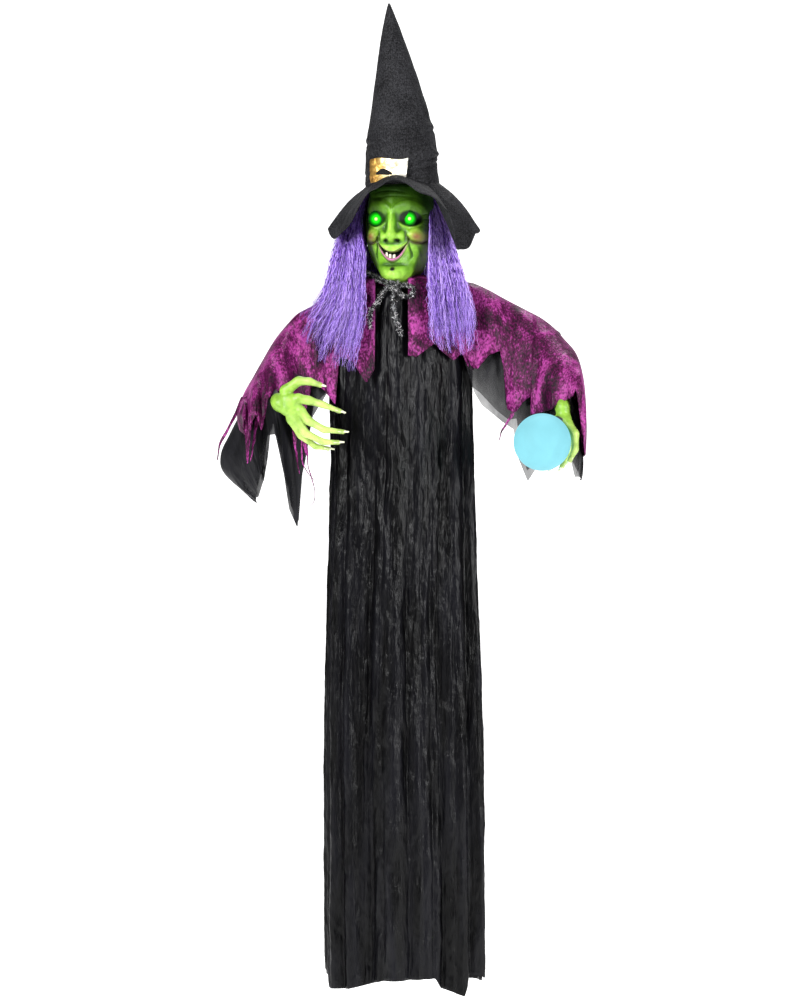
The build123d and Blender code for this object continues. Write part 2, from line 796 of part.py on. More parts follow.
def tie_band():
    """The tinsel scarf round the neck."""
    ring = Torus(tie_ring_r, tie_thick)
    return Pos(0, spine.Y, hub_top + tie_rise) * Rotation(tie_tilt, 0, 0) * ring


def tie_bow():
    """The scarf's knot, its one loop and its two tails."""
    y = chest_front + 5
    z = hub_top - 1
    knot = ellipsoid(10, 6.5, 8.5, (-9, y, z))
    loop = Pos(15, y, z - 5) * Rotation(90, 0, 0) * Torus(13, 4.5)
    tail_a = cone_between((-12, y, z - 4), (-52, y - 4, z - 72), 5, 3)
    tail_b = cone_between((-7, y, z - 4), (5, y - 4, z - 86), 5.5, 2.5)
    return knot.fuse(loop, tail_a, tail_b)


# ================================================================ arms
rod_r = 6.5
eye_end_r = 10.5
elbow_ear = 4.5
elbow_gap = 10.0
elbow_bolt_r = 2.5
wrist_peg_r = 5.0
wrist_peg_length = 24.0
wrist_groove = 12.0      # groove's middle from the peg's shoulder
wrist_screw_r = 1.5


def arm_points(side):
    """(shoulder, elbow, wrist) of one arm at rest."""
    sign, slope = side_sign[side], radians(arm_slope[side])
    shoulder = Vector(sign * shoulder_half, spine.Y, shoulder_z)
    elbow = shoulder + Vector(sign * cos(slope), 0, -sin(slope)) * upper_arm_length
    wrist = elbow + Vector(*forearm_way[side]).normalized() * forearm_length
    return shoulder, elbow, wrist


def elbow_axis(side):
    """The direction of one elbow's bolt."""
    shoulder, elbow, wrist = arm_points(side)
    return (elbow - shoulder).cross(wrist - elbow).normalized()


def across(centre, axis, low, high, radius):
    """A round bar along axis, from low to high measured from a centre."""
    return tube_between(centre + axis * low, centre + axis * high, radius)


def upper_arm(side):
    """The upper arm: an eye in the shoulder's ears, a rod, and two ears at the elbow."""
    shoulder, elbow, _ = arm_points(side)
    along = (elbow - shoulder).normalized()
    pin, half = Vector(0, 1, 0), ear_gap / 2 - gap
    arm = across(shoulder, pin, -half, half, eye_end_r)
    arm += tube_between(shoulder + along * 2, shoulder + along * (ear_radius + 6), half - gap)
    arm += tube_between(shoulder + along * (ear_radius + 4), elbow - along * (eye_end_r + 6), rod_r)
    axis, outer = elbow_axis(side), elbow_gap / 2 + elbow_ear
    fork = across(elbow, axis, -outer, outer, eye_end_r)
    web = Plane(origin=elbow - along * (eye_end_r + 4), x_dir=axis, z_dir=along)
    fork += web * Box(2 * outer, 2 * rod_r + 2, 12)
    root = Plane(origin=elbow - along * eye_end_r / 2, x_dir=axis, z_dir=along)
    fork += root * Box(2 * outer, 2 * eye_end_r - 4, eye_end_r)
    arm += fork
    clear = Plane(origin=elbow, x_dir=axis, z_dir=along)
    arm -= clear * Box(elbow_gap, 60, 2 * eye_end_r + 2)
    arm -= across(shoulder, pin, -20, 20, shoulder_bolt_r + running)
    arm -= across(elbow, axis, -outer - 1, outer + 1, elbow_bolt_r + screw_play)
    return arm


def elbow_bolt(side):
    """The bolt through one elbow, with its head and nut."""
    _, elbow, _ = arm_points(side)
    axis, outer = elbow_axis(side), elbow_gap / 2 + elbow_ear
    bolt = across(elbow, axis, -outer, outer, elbow_bolt_r)
    bolt += across(elbow, axis, -outer - 3.5, -outer, 4.5)
    bolt += across(elbow, axis, outer, outer + 4, 4.5)
    return bolt


def forearm(side):
    """The forearm: an eye at the elbow, a rod, and a grooved peg that the hand turns on."""
    _, elbow, wrist = arm_points(side)
    along = (wrist - elbow).normalized()
    axis, half = elbow_axis(side), elbow_gap / 2 - gap
    arm = across(elbow, axis, -half, half, eye_end_r - 1)
    arm += tube_between(elbow + along * 2, elbow + along * (eye_end_r + 8), half - gap)
    arm += tube_between(elbow + along * (eye_end_r + 6), wrist, rod_r - 0.5)
    arm += across(wrist, along, -1, wrist_peg_length, wrist_peg_r)
    groove = across(wrist, along, wrist_groove - 2, wrist_groove + 2, wrist_peg_r + 1)
    arm -= groove - across(wrist, along, wrist_groove - 3, wrist_groove + 3, wrist_peg_r - 1.4)
    arm -= across(elbow, axis, -half - 1, half + 1, elbow_bolt_r + running)
    return arm


def wrist_socket(side):
    """The hole in the hand for the forearm's peg, and where its screw sits."""
    _, elbow, wrist = arm_points(side)
    along = (wrist - elbow).normalized()
    return wrist, along


def wrist_screw_way(side):
    """The direction that one wrist's screw points, square to the forearm."""
    _, along = wrist_socket(side)
    return along.cross(Vector(1, 0, 0)).normalized() * -1


def wrist_screw(side):
    """The screw whose tip runs in the peg's groove, so that the hand turns but stays on."""
    wrist, along = wrist_socket(side)
    way, seat = wrist_screw_way(side), wrist + along * wrist_groove
    return across(seat, way, wrist_peg_r - 1, 10.5, wrist_screw_r)


def hand_with_socket(side, shape):
    """Cuts the wrist's socket and screw hole into a hand."""
    wrist, along = wrist_socket(side)
    shape += across(wrist, along, 1, wrist_peg_length + 4, 11.5)
    shape -= across(wrist, along, -5, wrist_peg_length + 1, wrist_peg_r + running)
    seat = wrist + along * wrist_groove
    shape -= across(seat, wrist_screw_way(side), 0, 30, wrist_screw_r + screw_play)
    return shape


# finger joints from the wrist, from knuckle to tip
right_fingers = {
    "thumb": [(14, -24, 16), (38, -30, 34), (58, -36, 33), (78, -42, 26)],
    "index": [(36, -32, 2), (56, -36, -1), (82, -42, -9), (113, -46, -21)],
    "middle": [(40, -30, -18), (56, -34, -38), (84, -42, -54), (118, -46, -58)],
    "ring": [(34, -27, -30), (50, -29, -60), (82, -35, -76), (110, -38, -77)],
    "little": [(24, -24, -34), (42, -18, -64), (68, -20, -84), (92, -22, -88)],
}
finger_radii = {
    "thumb": (10, 7.5, 6, 4),
    "index": (9.5, 7.5, 6, 3.6),
    "middle": (9.5, 7.5, 6, 3.6),
    "ring": (9.5, 7, 5.6, 3.4),
    "little": (9, 6.4, 5, 3.2),
}


def right_hand():
    """Her open right hand, one soft moulding over the wrist's socket."""
    wrist, _ = wrist_socket("right")
    fingers = []
    for name, joints in right_fingers.items():
        points = [tuple(wrist + Vector(*p)) for p in joints]
        fingers.append(limb(points, finger_radii[name]))
    palm = ellipsoid(27, 13, 30, wrist + Vector(24, -26, -12))
    return hand_with_socket("right", palm.fuse(*fingers))


ball_r = 52.0
ball_wall = 2.0
ball_centre = arm_points("left")[2] + Vector(-37, -48, -77)
ball_base_r = 13.0
grip = 9.0               # finger axes run this far outside the ball
left_palm_r = 21.0
left_fingers = {
    "index": [(0.80, 0.35, 0.60), (0.97, 0.05, 0.25), (0.98, -0.12, -0.22), (0.82, -0.22, -0.58)],
    "middle": [(0.66, 0.62, 0.42), (0.82, 0.55, 0.05), (0.80, 0.45, -0.40), (0.60, 0.35, -0.74)],
    "ring": [(0.42, 0.80, 0.42), (0.50, 0.86, -0.02), (0.46, 0.76, -0.46), (0.30, 0.60, -0.76)],
    "little": [(0.18, 0.84, 0.50), (0.12, 0.98, 0.10), (0.08, 0.94, -0.32), (0.04, 0.80, -0.60)],
    "thumb": [(0.28, 0.75, 0.55), (0.0, 0.9, 0.42), (-0.25, 0.92, 0.3), (-0.45, 0.86, 0.2)],
}


def ball_way():
    """The direction from the ball's centre to the palm."""
    return (left_palm() - ball_centre).normalized()


def left_palm():
    """The middle of the left palm."""
    return arm_points("left")[2] + Vector(1, -18, -35)


def on_grip(way):
    """A point on the surface that the finger axes follow round the ball."""
    return tuple(ball_centre + Vector(*way).normalized() * (ball_r + grip))


def left_hand():
    """Her left hand, bent round the ball and clear of it."""
    palm_at = left_palm()
    fingers = []
    for name, ways in left_fingers.items():
        radii = [min(r, grip - 1.5) for r in finger_radii[name]]
        fingers.append(limb([on_grip(w) for w in ways], radii))
        fingers.append(cone_between(tuple(palm_at), on_grip(ways[0]), 10, radii[0]))
    palm = Pos(*palm_at) * Sphere(left_palm_r)
    hand = hand_with_socket("left", palm.fuse(*fingers))
    hand -= Pos(*ball_centre) * Sphere(ball_r + gap)
    way = ball_way()
    return hand - tube_between(
        ball_centre + way * (ball_r - 6), ball_centre + way * (ball_r + 6), ball_base_r + gap
    )


def crystal_ball():
    """The hollow globe with a round hole towards the palm."""
    way = ball_way()
    globe = Pos(*ball_centre) * (Sphere(ball_r) - Sphere(ball_r - ball_wall))
    return globe - tube_between(ball_centre + way * (ball_r - 20), ball_centre + way * (ball_r + 5), ball_base_r - 2.8)


def ball_base():
    """The plug that closes the globe and holds its lamp, stuck to the palm."""
    way = ball_way()
    base = tube_between(ball_centre + way * (ball_r + 0.2), ball_centre + way * (ball_r + 5.5), ball_base_r)
    base += tube_between(ball_centre + way * (ball_r - 12), ball_centre + way * (ball_r + 0.3), ball_base_r - 3)
    return base


def ball_lamp():
    """The lamp on the inner end of the plug."""
    way = ball_way()
    foot = ball_centre + way * (ball_r - 12)
    lamp = tube_between(foot - way * 1.6, foot, ball_base_r - 4)
    lamp += tube_between(foot - way * 8, foot - way * 1.6, 2.5)
    lamp += Pos(*(foot - way * 8)) * Sphere(2.5)
    return lamp


# ================================================================ sleeves
# an upper sleeve runs through ovals: (share of the upper arm, above the rod, below it, half depth)
sleeve_ovals = {
    "right": [(0.31, 38, 118, 42), (0.86, 26, 70, 50)],
    "left": [(0.24, 32, 84, 42), (0.88, 22, 74, 50)],
}
# a cuff hangs through ovals: (below the elbow, half length, half width), with its middle shifted
cuff_ovals = {
    "right": [(-34, 66, 26), (-10, 90, 42), (60, 100, 56), (130, 104, 70), (292, 98, 88)],
    "left": [(-34, 62, 26), (-10, 84, 42), (60, 94, 54), (130, 96, 60), (266, 90, 62)],
}
cuff_shift = {"right": 58.0, "left": 38.0}
velvet_drop = 132.0
chiffon_drop = {"right": 292.0, "left": 266.0}
sleeve_clear = 4.0
wrist_room = 31.0        # radius of the way out of a cuff for the hand
ball_room = 12.0         # between the finger axes round the ball and the cloth


def sleeve_body(side, grow):
    """The space inside an upper sleeve's outside, let out by grow."""
    shoulder, elbow, _ = arm_points(side)
    way = elbow - shoulder
    faces = []
    for share, above, below, half_depth in sleeve_ovals[side]:
        at = shoulder + way * share
        half = (above + below) / 2
        oval = Rotation(0, 90, 0) * Ellipse(half + grow, half_depth + grow)
        end = side_sign[side] * (grow if share > 0.5 else -grow)
        faces.append(Pos(at.X + end, at.Y, at.Z + above - half) * oval)
    return loft(faces, ruled=True)


def sleeve_upper(side):
    """The velvet tube round the upper arm, which hangs well below the rod."""
    shoulder, elbow, _ = arm_points(side)
    way = elbow - shoulder
    inner = []
    for share, above, below, half_depth in sleeve_ovals[side]:
        at = shoulder + way * share
        half = (above + below) / 2
        oval = Rotation(0, 90, 0) * Ellipse(half - cloth, half_depth - cloth)
        end = side_sign[side] * (1 if share > 0.5 else -1)
        inner.append(Pos(at.X + end, at.Y, at.Z + above - half) * oval)
    return sleeve_body(side, 0) - loft(inner, ruled=True)


def cuff_stack(side, inset, bottom):
    """A cuff's outside, drawn in by inset and ended at bottom below the elbow."""
    _, elbow, wrist = arm_points(side)
    way = wrist - elbow
    turn = degrees(atan2(way.Y, way.X))
    level = Vector(way.X, way.Y, 0).normalized() * cuff_shift[side]
    rows = []
    ovals = cuff_ovals[side]
    for (drop_a, l_a, w_a), (drop_b, l_b, w_b) in zip(ovals, ovals[1:]):
        if drop_a >= bottom:
            break
        if not rows:
            rows.append((drop_a + inset, l_a, w_a))
        share = min(1.0, (bottom - drop_a) / (drop_b - drop_a))
        rows.append((drop_a + (drop_b - drop_a) * share, l_a + (l_b - l_a) * share, w_a + (w_b - w_a) * share))
    return [
        Pos(elbow.X + level.X, elbow.Y + level.Y, elbow.Z - drop)
        * Rotation(0, 0, turn) * Ellipse(half_l - inset, half_w - inset)
        for drop, half_l, half_w in rows
    ]


def cuff(side, inset, bottom, point_count, point_depth):
    """One hanging cuff: hollow, open below, cut for the arm and for the wrist, its hem in points."""
    shoulder, elbow, wrist = arm_points(side)
    inner = cuff_stack(side, inset + cloth, bottom)
    inner[-1] = Pos(0, 0, -1) * inner[-1]
    shell = loft(cuff_stack(side, inset, bottom), ruled=True) - loft(inner, ruled=True)
    along = (wrist - elbow).normalized()
    shell -= sleeve_body(side, sleeve_clear)
    upper = (elbow - shoulder).normalized()
    shell -= tube_between(elbow - upper * 70, elbow + upper * 2, eye_end_r + 8)
    shell -= tube_between(elbow + along * 40, wrist + along * 90, wrist_room)
    floor = elbow.Z - bottom
    cuts = []
    for k in range(point_count):
        notch = Polygon((-22, -2), (22, -2), (0, point_depth), align=None)
        wedge = extrude(Plane.XZ * notch, 260)
        turn = 360 * (k + 0.3) / point_count
        cuts.append(Pos(elbow.X, elbow.Y - cuff_shift[side], floor) * Rotation(0, 0, turn) * wedge)
    return shell.cut(*cuts)


def clear_of_ball(cloth_piece):
    """Cuts the left cuff back round the ball, the fingers on it and the palm behind it."""
    reach = ball_r + grip + ball_room
    cloth_piece -= Pos(*ball_centre) * Sphere(reach)
    return cloth_piece - Pos(*left_palm()) * Sphere(left_palm_r + 9)


def velvet_cuff(side):
    """The velvet bell over the forearm, its hem in points."""
    bell = cuff(side, 0, velvet_drop, 8, 40)
    return clear_of_ball(bell) if side == "left" else bell


def chiffon_cuff(side):
    """The thin black bell inside it, which hangs lower."""
    thin = cuff(side, cloth + 3, chiffon_drop[side], 7, 90)
    if side == "left":
        thin = clear_of_ball(thin)
        thin -= bar_z(ball_centre.X, ball_centre.Y, ball_centre.Z - 200, ball_centre.Z, ball_r + ball_room)
    return thin


# ================================================================ the set of pieces
def pieces():
    """Every node's name and the solid, or solids, it is made of."""
    face, back = head_shells()
    made = {
        "shoulder_yoke": shoulder_yoke(),
        "hanging_plate": hanging_plate(),
        "hanging_plate_screws": hanging_plate_screws(),
        "neck_motor": neck_motor(),
        "motor_screws": motor_screws(),
        "neck_bearing": neck_bearing(),
        "shoulder_bolts": shoulder_bolts(),
        "shoulder_wing_nuts": shoulder_wing_nuts(),
        "control_box_shell": control_box_shell(),
        "control_box_cover": control_box_cover(),
        "control_box_screws": control_box_screws(),
        "speaker": speaker(),
        "circuit_board": circuit_board(),
        "sound_sensor": sound_sensor(),
        "battery_cells": battery_cells(),
        "battery_contacts": battery_contacts(),
        "battery_door": battery_door(),
        "power_slider": power_slider(),
        "robe": robe(),
        "cape": cape(),
        "tie_band": tie_band(),
        "tie_bow": tie_bow(),
        "face_shell": turned_head(face),
        "head_back_shell": turned_head(back),
        "neck_tube": neck_tube(),
        "neck_shaft": neck_shaft(),
        "eye_holders": [turned_head(s) for s in eye_holders()],
        "eye_lamps": [turned_head(s) for s in eye_lamps()],
        "teeth": turned_head(teeth()),
        "eye_lead": eye_lead(),
        "wig_cap": turned_head(wig_cap()),
        "hair_right_front": hair_right_front(),
        "hair_left_front": hair_left_front(),
        "hair_right_back": hair_right_back(),
        "hair_left_back": hair_left_back(),
        "hat_crown": hat_crown(),
        "hat_brim": hat_brim(),
        "hat_band": hat_band(),
        "hat_buckle": hat_buckle(),
        "right_hand": right_hand(),
        "left_hand": left_hand(),
        "crystal_ball": crystal_ball(),
        "ball_base": ball_base(),
        "ball_lamp": ball_lamp(),
    }
    for side in ("right", "left"):
        made[f"{side}_upper_arm"] = upper_arm(side)
        made[f"{side}_elbow_bolt"] = elbow_bolt(side)
        made[f"{side}_forearm"] = forearm(side)
        made[f"{side}_wrist_screw"] = wrist_screw(side)
        made[f"{side}_sleeve_upper"] = sleeve_upper(side)
        made[f"{side}_velvet_cuff"] = velvet_cuff(side)
        made[f"{side}_chiffon_cuff"] = chiffon_cuff(side)
    return made


def main():
    """Builds every piece and writes one STEP file for each node."""
    os.makedirs("parts", exist_ok=True)
    for name, shape in pieces().items():
        solids = shape if isinstance(shape, list) else [shape]
        export_step(Compound(children=[s for item in solids for s in item.solids()]), f"parts/{name}.step")


if __name__ == "__main__":
    main()
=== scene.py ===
"""The hanging witch's visible surfaces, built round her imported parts.

Lengths are in metres unless a name ends in _mm. +Z is up, she faces -Y, and +X is on her left hand's side.
"""

import json
import logging
import math
from dataclasses import dataclass
from enum import Enum
from typing import Optional, Sequence

import bpy
import numpy as np
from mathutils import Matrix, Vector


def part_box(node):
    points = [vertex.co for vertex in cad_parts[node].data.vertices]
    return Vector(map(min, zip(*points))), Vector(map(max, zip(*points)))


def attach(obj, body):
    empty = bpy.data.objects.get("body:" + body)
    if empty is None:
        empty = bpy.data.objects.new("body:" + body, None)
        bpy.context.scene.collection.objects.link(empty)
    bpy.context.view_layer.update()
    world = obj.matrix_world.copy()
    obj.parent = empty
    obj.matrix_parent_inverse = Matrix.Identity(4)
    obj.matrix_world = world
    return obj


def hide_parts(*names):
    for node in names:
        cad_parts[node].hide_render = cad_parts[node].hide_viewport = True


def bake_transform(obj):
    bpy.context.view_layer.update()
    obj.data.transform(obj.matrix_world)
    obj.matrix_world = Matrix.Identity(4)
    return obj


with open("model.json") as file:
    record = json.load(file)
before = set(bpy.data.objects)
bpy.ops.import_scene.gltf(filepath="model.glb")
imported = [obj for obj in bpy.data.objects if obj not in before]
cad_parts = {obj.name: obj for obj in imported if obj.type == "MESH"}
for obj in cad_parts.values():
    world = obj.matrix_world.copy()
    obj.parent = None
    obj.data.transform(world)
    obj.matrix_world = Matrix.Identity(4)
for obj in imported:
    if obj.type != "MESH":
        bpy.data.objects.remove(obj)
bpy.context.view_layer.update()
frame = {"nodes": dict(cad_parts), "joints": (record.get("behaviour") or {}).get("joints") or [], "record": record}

LOG = logging.getLogger("witch")
MM = 0.001
GROWN = 10.0      # hands are grown this many times too large, for a finer skin, and then shrunk
RIDGE_MEAN = 0.36     # about the mean of 1 - |sin|
Points = Sequence[tuple[float, ...]]
Colour = tuple[float, float, float]


# ---------------------------------------------------------------- shapes worked out as arrays
def through(points: Points, t: np.ndarray, smooth: bool = True) -> np.ndarray:
    """A line through points, read at shares of its length.

    The corners' shares are their running distances over the whole. A smooth line is the cubic that matches
    each point and the mean slope of its two neighbours (Catmull-Rom); otherwise it is straight between them.

    Args:
        points: Places in millimetres, each with the same number of coordinates.
        t: Shares from 0 to 1, of any shape.
        smooth: Whether corners are rounded.

    Returns:
        Places in metres, with the coordinates on a last axis.
    """
    p = np.array(points, float) * MM
    s = np.r_[0, np.cumsum(np.linalg.norm(np.diff(p, axis=0), axis=1))]
    s = s / s[-1]
    if not smooth:
        return np.stack([np.interp(t, s, p[:, k]) for k in range(p.shape[1])], -1)
    m = np.gradient(p, s, axis=0)
    i = np.clip(np.searchsorted(s, t, side="right") - 1, 0, len(p) - 2)
    h = (s[i + 1] - s[i])[..., None]
    x = (t - s[i])[..., None] / h
    return (
        (2 * x**3 - 3 * x**2 + 1) * p[i] + (x**3 - 2 * x**2 + x) * h * m[i]
        + (3 * x**2 - 2 * x**3) * p[i + 1] + (x**3 - x**2) * h * m[i + 1]
    )


def ripple(
    u: np.ndarray, v: np.ndarray, seed: int, waves: int, low: float, high: float, lean: float = 9.0
) -> np.ndarray:
    """Uneven ridges: the mean of 1 - |sin| over waves of random length and direction, centred on zero.

    Args:
        u: First coordinate.
        v: Second coordinate.
        seed: Start of the random draw.
        waves: Number of waves.
        low: Least turns per unit.
        high: Most turns per unit.
        lean: Widest angle of a ridge to the v axis, in radians.

    Returns:
        Heights between about -0.6 and 0.4.
    """
    rng = np.random.default_rng(seed)
    total = np.zeros(np.broadcast(u, v).shape)
    for _ in range(waves):
        angle = rng.uniform(-1, 1) * min(lean, math.pi)
        turns = rng.uniform(low, high) * math.pi
        total += 1 - np.abs(np.sin(turns * (u * math.cos(angle) + v * math.sin(angle)) + rng.uniform(0, 6.3)))
    return total / waves - RIDGE_MEAN


def swell(u: np.ndarray, v: np.ndarray, seed: int, waves: int, low: float, high: float) -> np.ndarray:
    """A soft uneven field: the sum of sines of random length and direction, over the root of their number.

    Args:
        u: First coordinate.
        v: Second coordinate.
        seed: Start of the random draw.
        waves: Number of waves.
        low: Least turns per unit.
        high: Most turns per unit.

    Returns:
        Heights, mostly between -1 and 1.
    """
    rng = np.random.default_rng(seed)
    total = np.zeros(np.broadcast(u, v).shape)
    for _ in range(waves):
        angle, turns = rng.uniform(0, math.pi), rng.uniform(low, high) * 2 * math.pi
        total += np.sin(turns * (u * math.cos(angle) + v * math.sin(angle)) + rng.uniform(0, 6.3))
    return total / math.sqrt(waves)


def hump(x: np.ndarray, z: np.ndarray, at: tuple[float, float], size: tuple[float, float]) -> np.ndarray:
    """A round rise of height 1: exp(-(dx/sx)^2 - (dz/sz)^2)."""
    return np.exp(-(((x - at[0]) / size[0]) ** 2) - ((z - at[1]) / size[1]) ** 2)


def step(x: np.ndarray, low: float, high: float) -> np.ndarray:
    """0 below low, 1 above high, and 3t^2 - 2t^3 between."""
    t = np.clip((x - low) / (high - low), 0, 1)
    return t * t * (3 - 2 * t)


def grid(nu: int, nv: int) -> tuple[np.ndarray, np.ndarray]:
    """Two arrays of shares from 0 to 1, the first along u and the second along v."""
    return np.meshgrid(np.linspace(0, 1, nu), np.linspace(0, 1, nv), indexing="ij")


def grid_faces(nu: int, nv: int, closed_u: bool, closed_v: bool, flip: bool) -> np.ndarray:
    """Four-sided faces of a grid, joined end to start where it is closed.

    Args:
        nu: Points along u.
        nv: Points along v.
        closed_u: Whether the last column joins the first.
        closed_v: Whether the last row joins the first.
        flip: Whether the faces are turned over.

    Returns:
        Rows of four point numbers.
    """
    i = np.arange(nu if closed_u else nu - 1)[:, None]
    j = np.arange(nv if closed_v else nv - 1)[None, :]
    a, b = i * nv + j, (i + 1) % nu * nv + j
    c, d = (i + 1) % nu * nv + (j + 1) % nv, i * nv + (j + 1) % nv
    faces = np.stack([a, b, c, d], -1).reshape(-1, 4)
    return faces[:, ::-1] if flip else faces


def make_mesh(name: str, points: np.ndarray, faces: np.ndarray, smooth: bool = True) -> bpy.types.Object:
    """Puts points and faces into a new object at the origin.

    Args:
        name: The piece's name.
        points: An array of places, reshaped to rows of three.
        faces: Rows of three or four point numbers.
        smooth: Whether faces are shaded smooth.

    Returns:
        The object, linked to the scene.
    """
    mesh = bpy.data.meshes.new(name)
    rows = np.ascontiguousarray(points, np.float32).reshape(-1, 3)
    size = faces.shape[1]
    mesh.vertices.add(len(rows))
    mesh.vertices.foreach_set("co", rows.ravel())
    mesh.loops.add(faces.size)
    mesh.loops.foreach_set("vertex_index", faces.ravel().astype(np.int32))
    mesh.polygons.add(len(faces))
    mesh.polygons.foreach_set("loop_start", np.arange(len(faces), dtype=np.int32) * size)
    mesh.update(calc_edges=True)
    mesh.polygons.foreach_set("use_smooth", np.full(len(faces), smooth))
    mesh.validate()
    piece = bpy.data.objects.new(name, mesh)
    bpy.context.scene.collection.objects.link(piece)
    return piece


def surface(
    name: str, points: np.ndarray, closed_u: bool = False, closed_v: bool = False, flip: bool = False
) -> bpy.types.Object:
    """A piece from a grid of places.

    Args:
        name: The piece's name.
        points: Places by u and v, in metres.
        closed_u: Whether the last column joins the first.
        closed_v: Whether the last row joins the first.
        flip: Whether the faces are turned over.

    Returns:
        The piece.
    """
    nu, nv = points.shape[:2]
    return make_mesh(name, points, grid_faces(nu, nv, closed_u, closed_v, flip))


def paint(piece: bpy.types.Object, name: str, values: np.ndarray) -> None:
    """Stores a number or a colour for each point of a piece.

    Args:
        piece: The piece.
        name: The attribute's name.
        values: One number, or red, green and blue, for each point.
    """
    flat = np.ascontiguousarray(values, np.float32).reshape(len(piece.data.vertices), -1)
    if flat.shape[1] == 1:
        piece.data.attributes.new(name, "FLOAT", "POINT").data.foreach_set("value", flat.ravel())
    else:
        rgba = np.c_[flat, np.ones(len(flat), np.float32)]
        piece.data.attributes.new(name, "FLOAT_COLOR", "POINT").data.foreach_set("color", rgba.ravel())


def threads(
    name: str, paths: np.ndarray, radius: np.ndarray, sides: int = 3, flat: float = 1.0
) -> bpy.types.Object:
    """Many thin tubes as one piece, open at both ends.

    Each tube's section at a path point is a polygon of the given radius, square to the path: its two axes are
    the path's direction crossed with a fixed sideways direction, and crossed again.

    Args:
        name: The piece's name.
        paths: Places by strand and step.
        radius: Radius by strand and step.
        sides: Corners of a section.
        flat: Thickness of a section over its width.

    Returns:
        The piece, with each point's strand number as a share in the attribute "strand".
    """
    n, k = paths.shape[:2]
    along = np.gradient(paths, axis=1)
    along /= np.linalg.norm(along, axis=2, keepdims=True) + 1e-9
    side = np.cross(along, np.array([0.0, 1.0, 0.02]))
    side /= np.linalg.norm(side, axis=2, keepdims=True) + 1e-9
    up = np.cross(side, along)
    turn = np.arange(sides) / sides * 2 * math.pi
    ring = (
        np.cos(turn)[:, None] * side[:, :, None, :] + flat * np.sin(turn)[:, None] * up[:, :, None, :]
    ) * radius[:, :, None, None]
    points = paths[:, :, None, :] + ring
    faces = grid_faces(k, sides, False, True, False)
    all_faces = (faces[None] + (np.arange(n) * k * sides)[:, None, None]).reshape(-1, 4)
    piece = make_mesh(name, points, all_faces)
    share = np.random.default_rng(n).random(n)
    paint(piece, "strand", np.repeat(share, k * sides))
    return piece


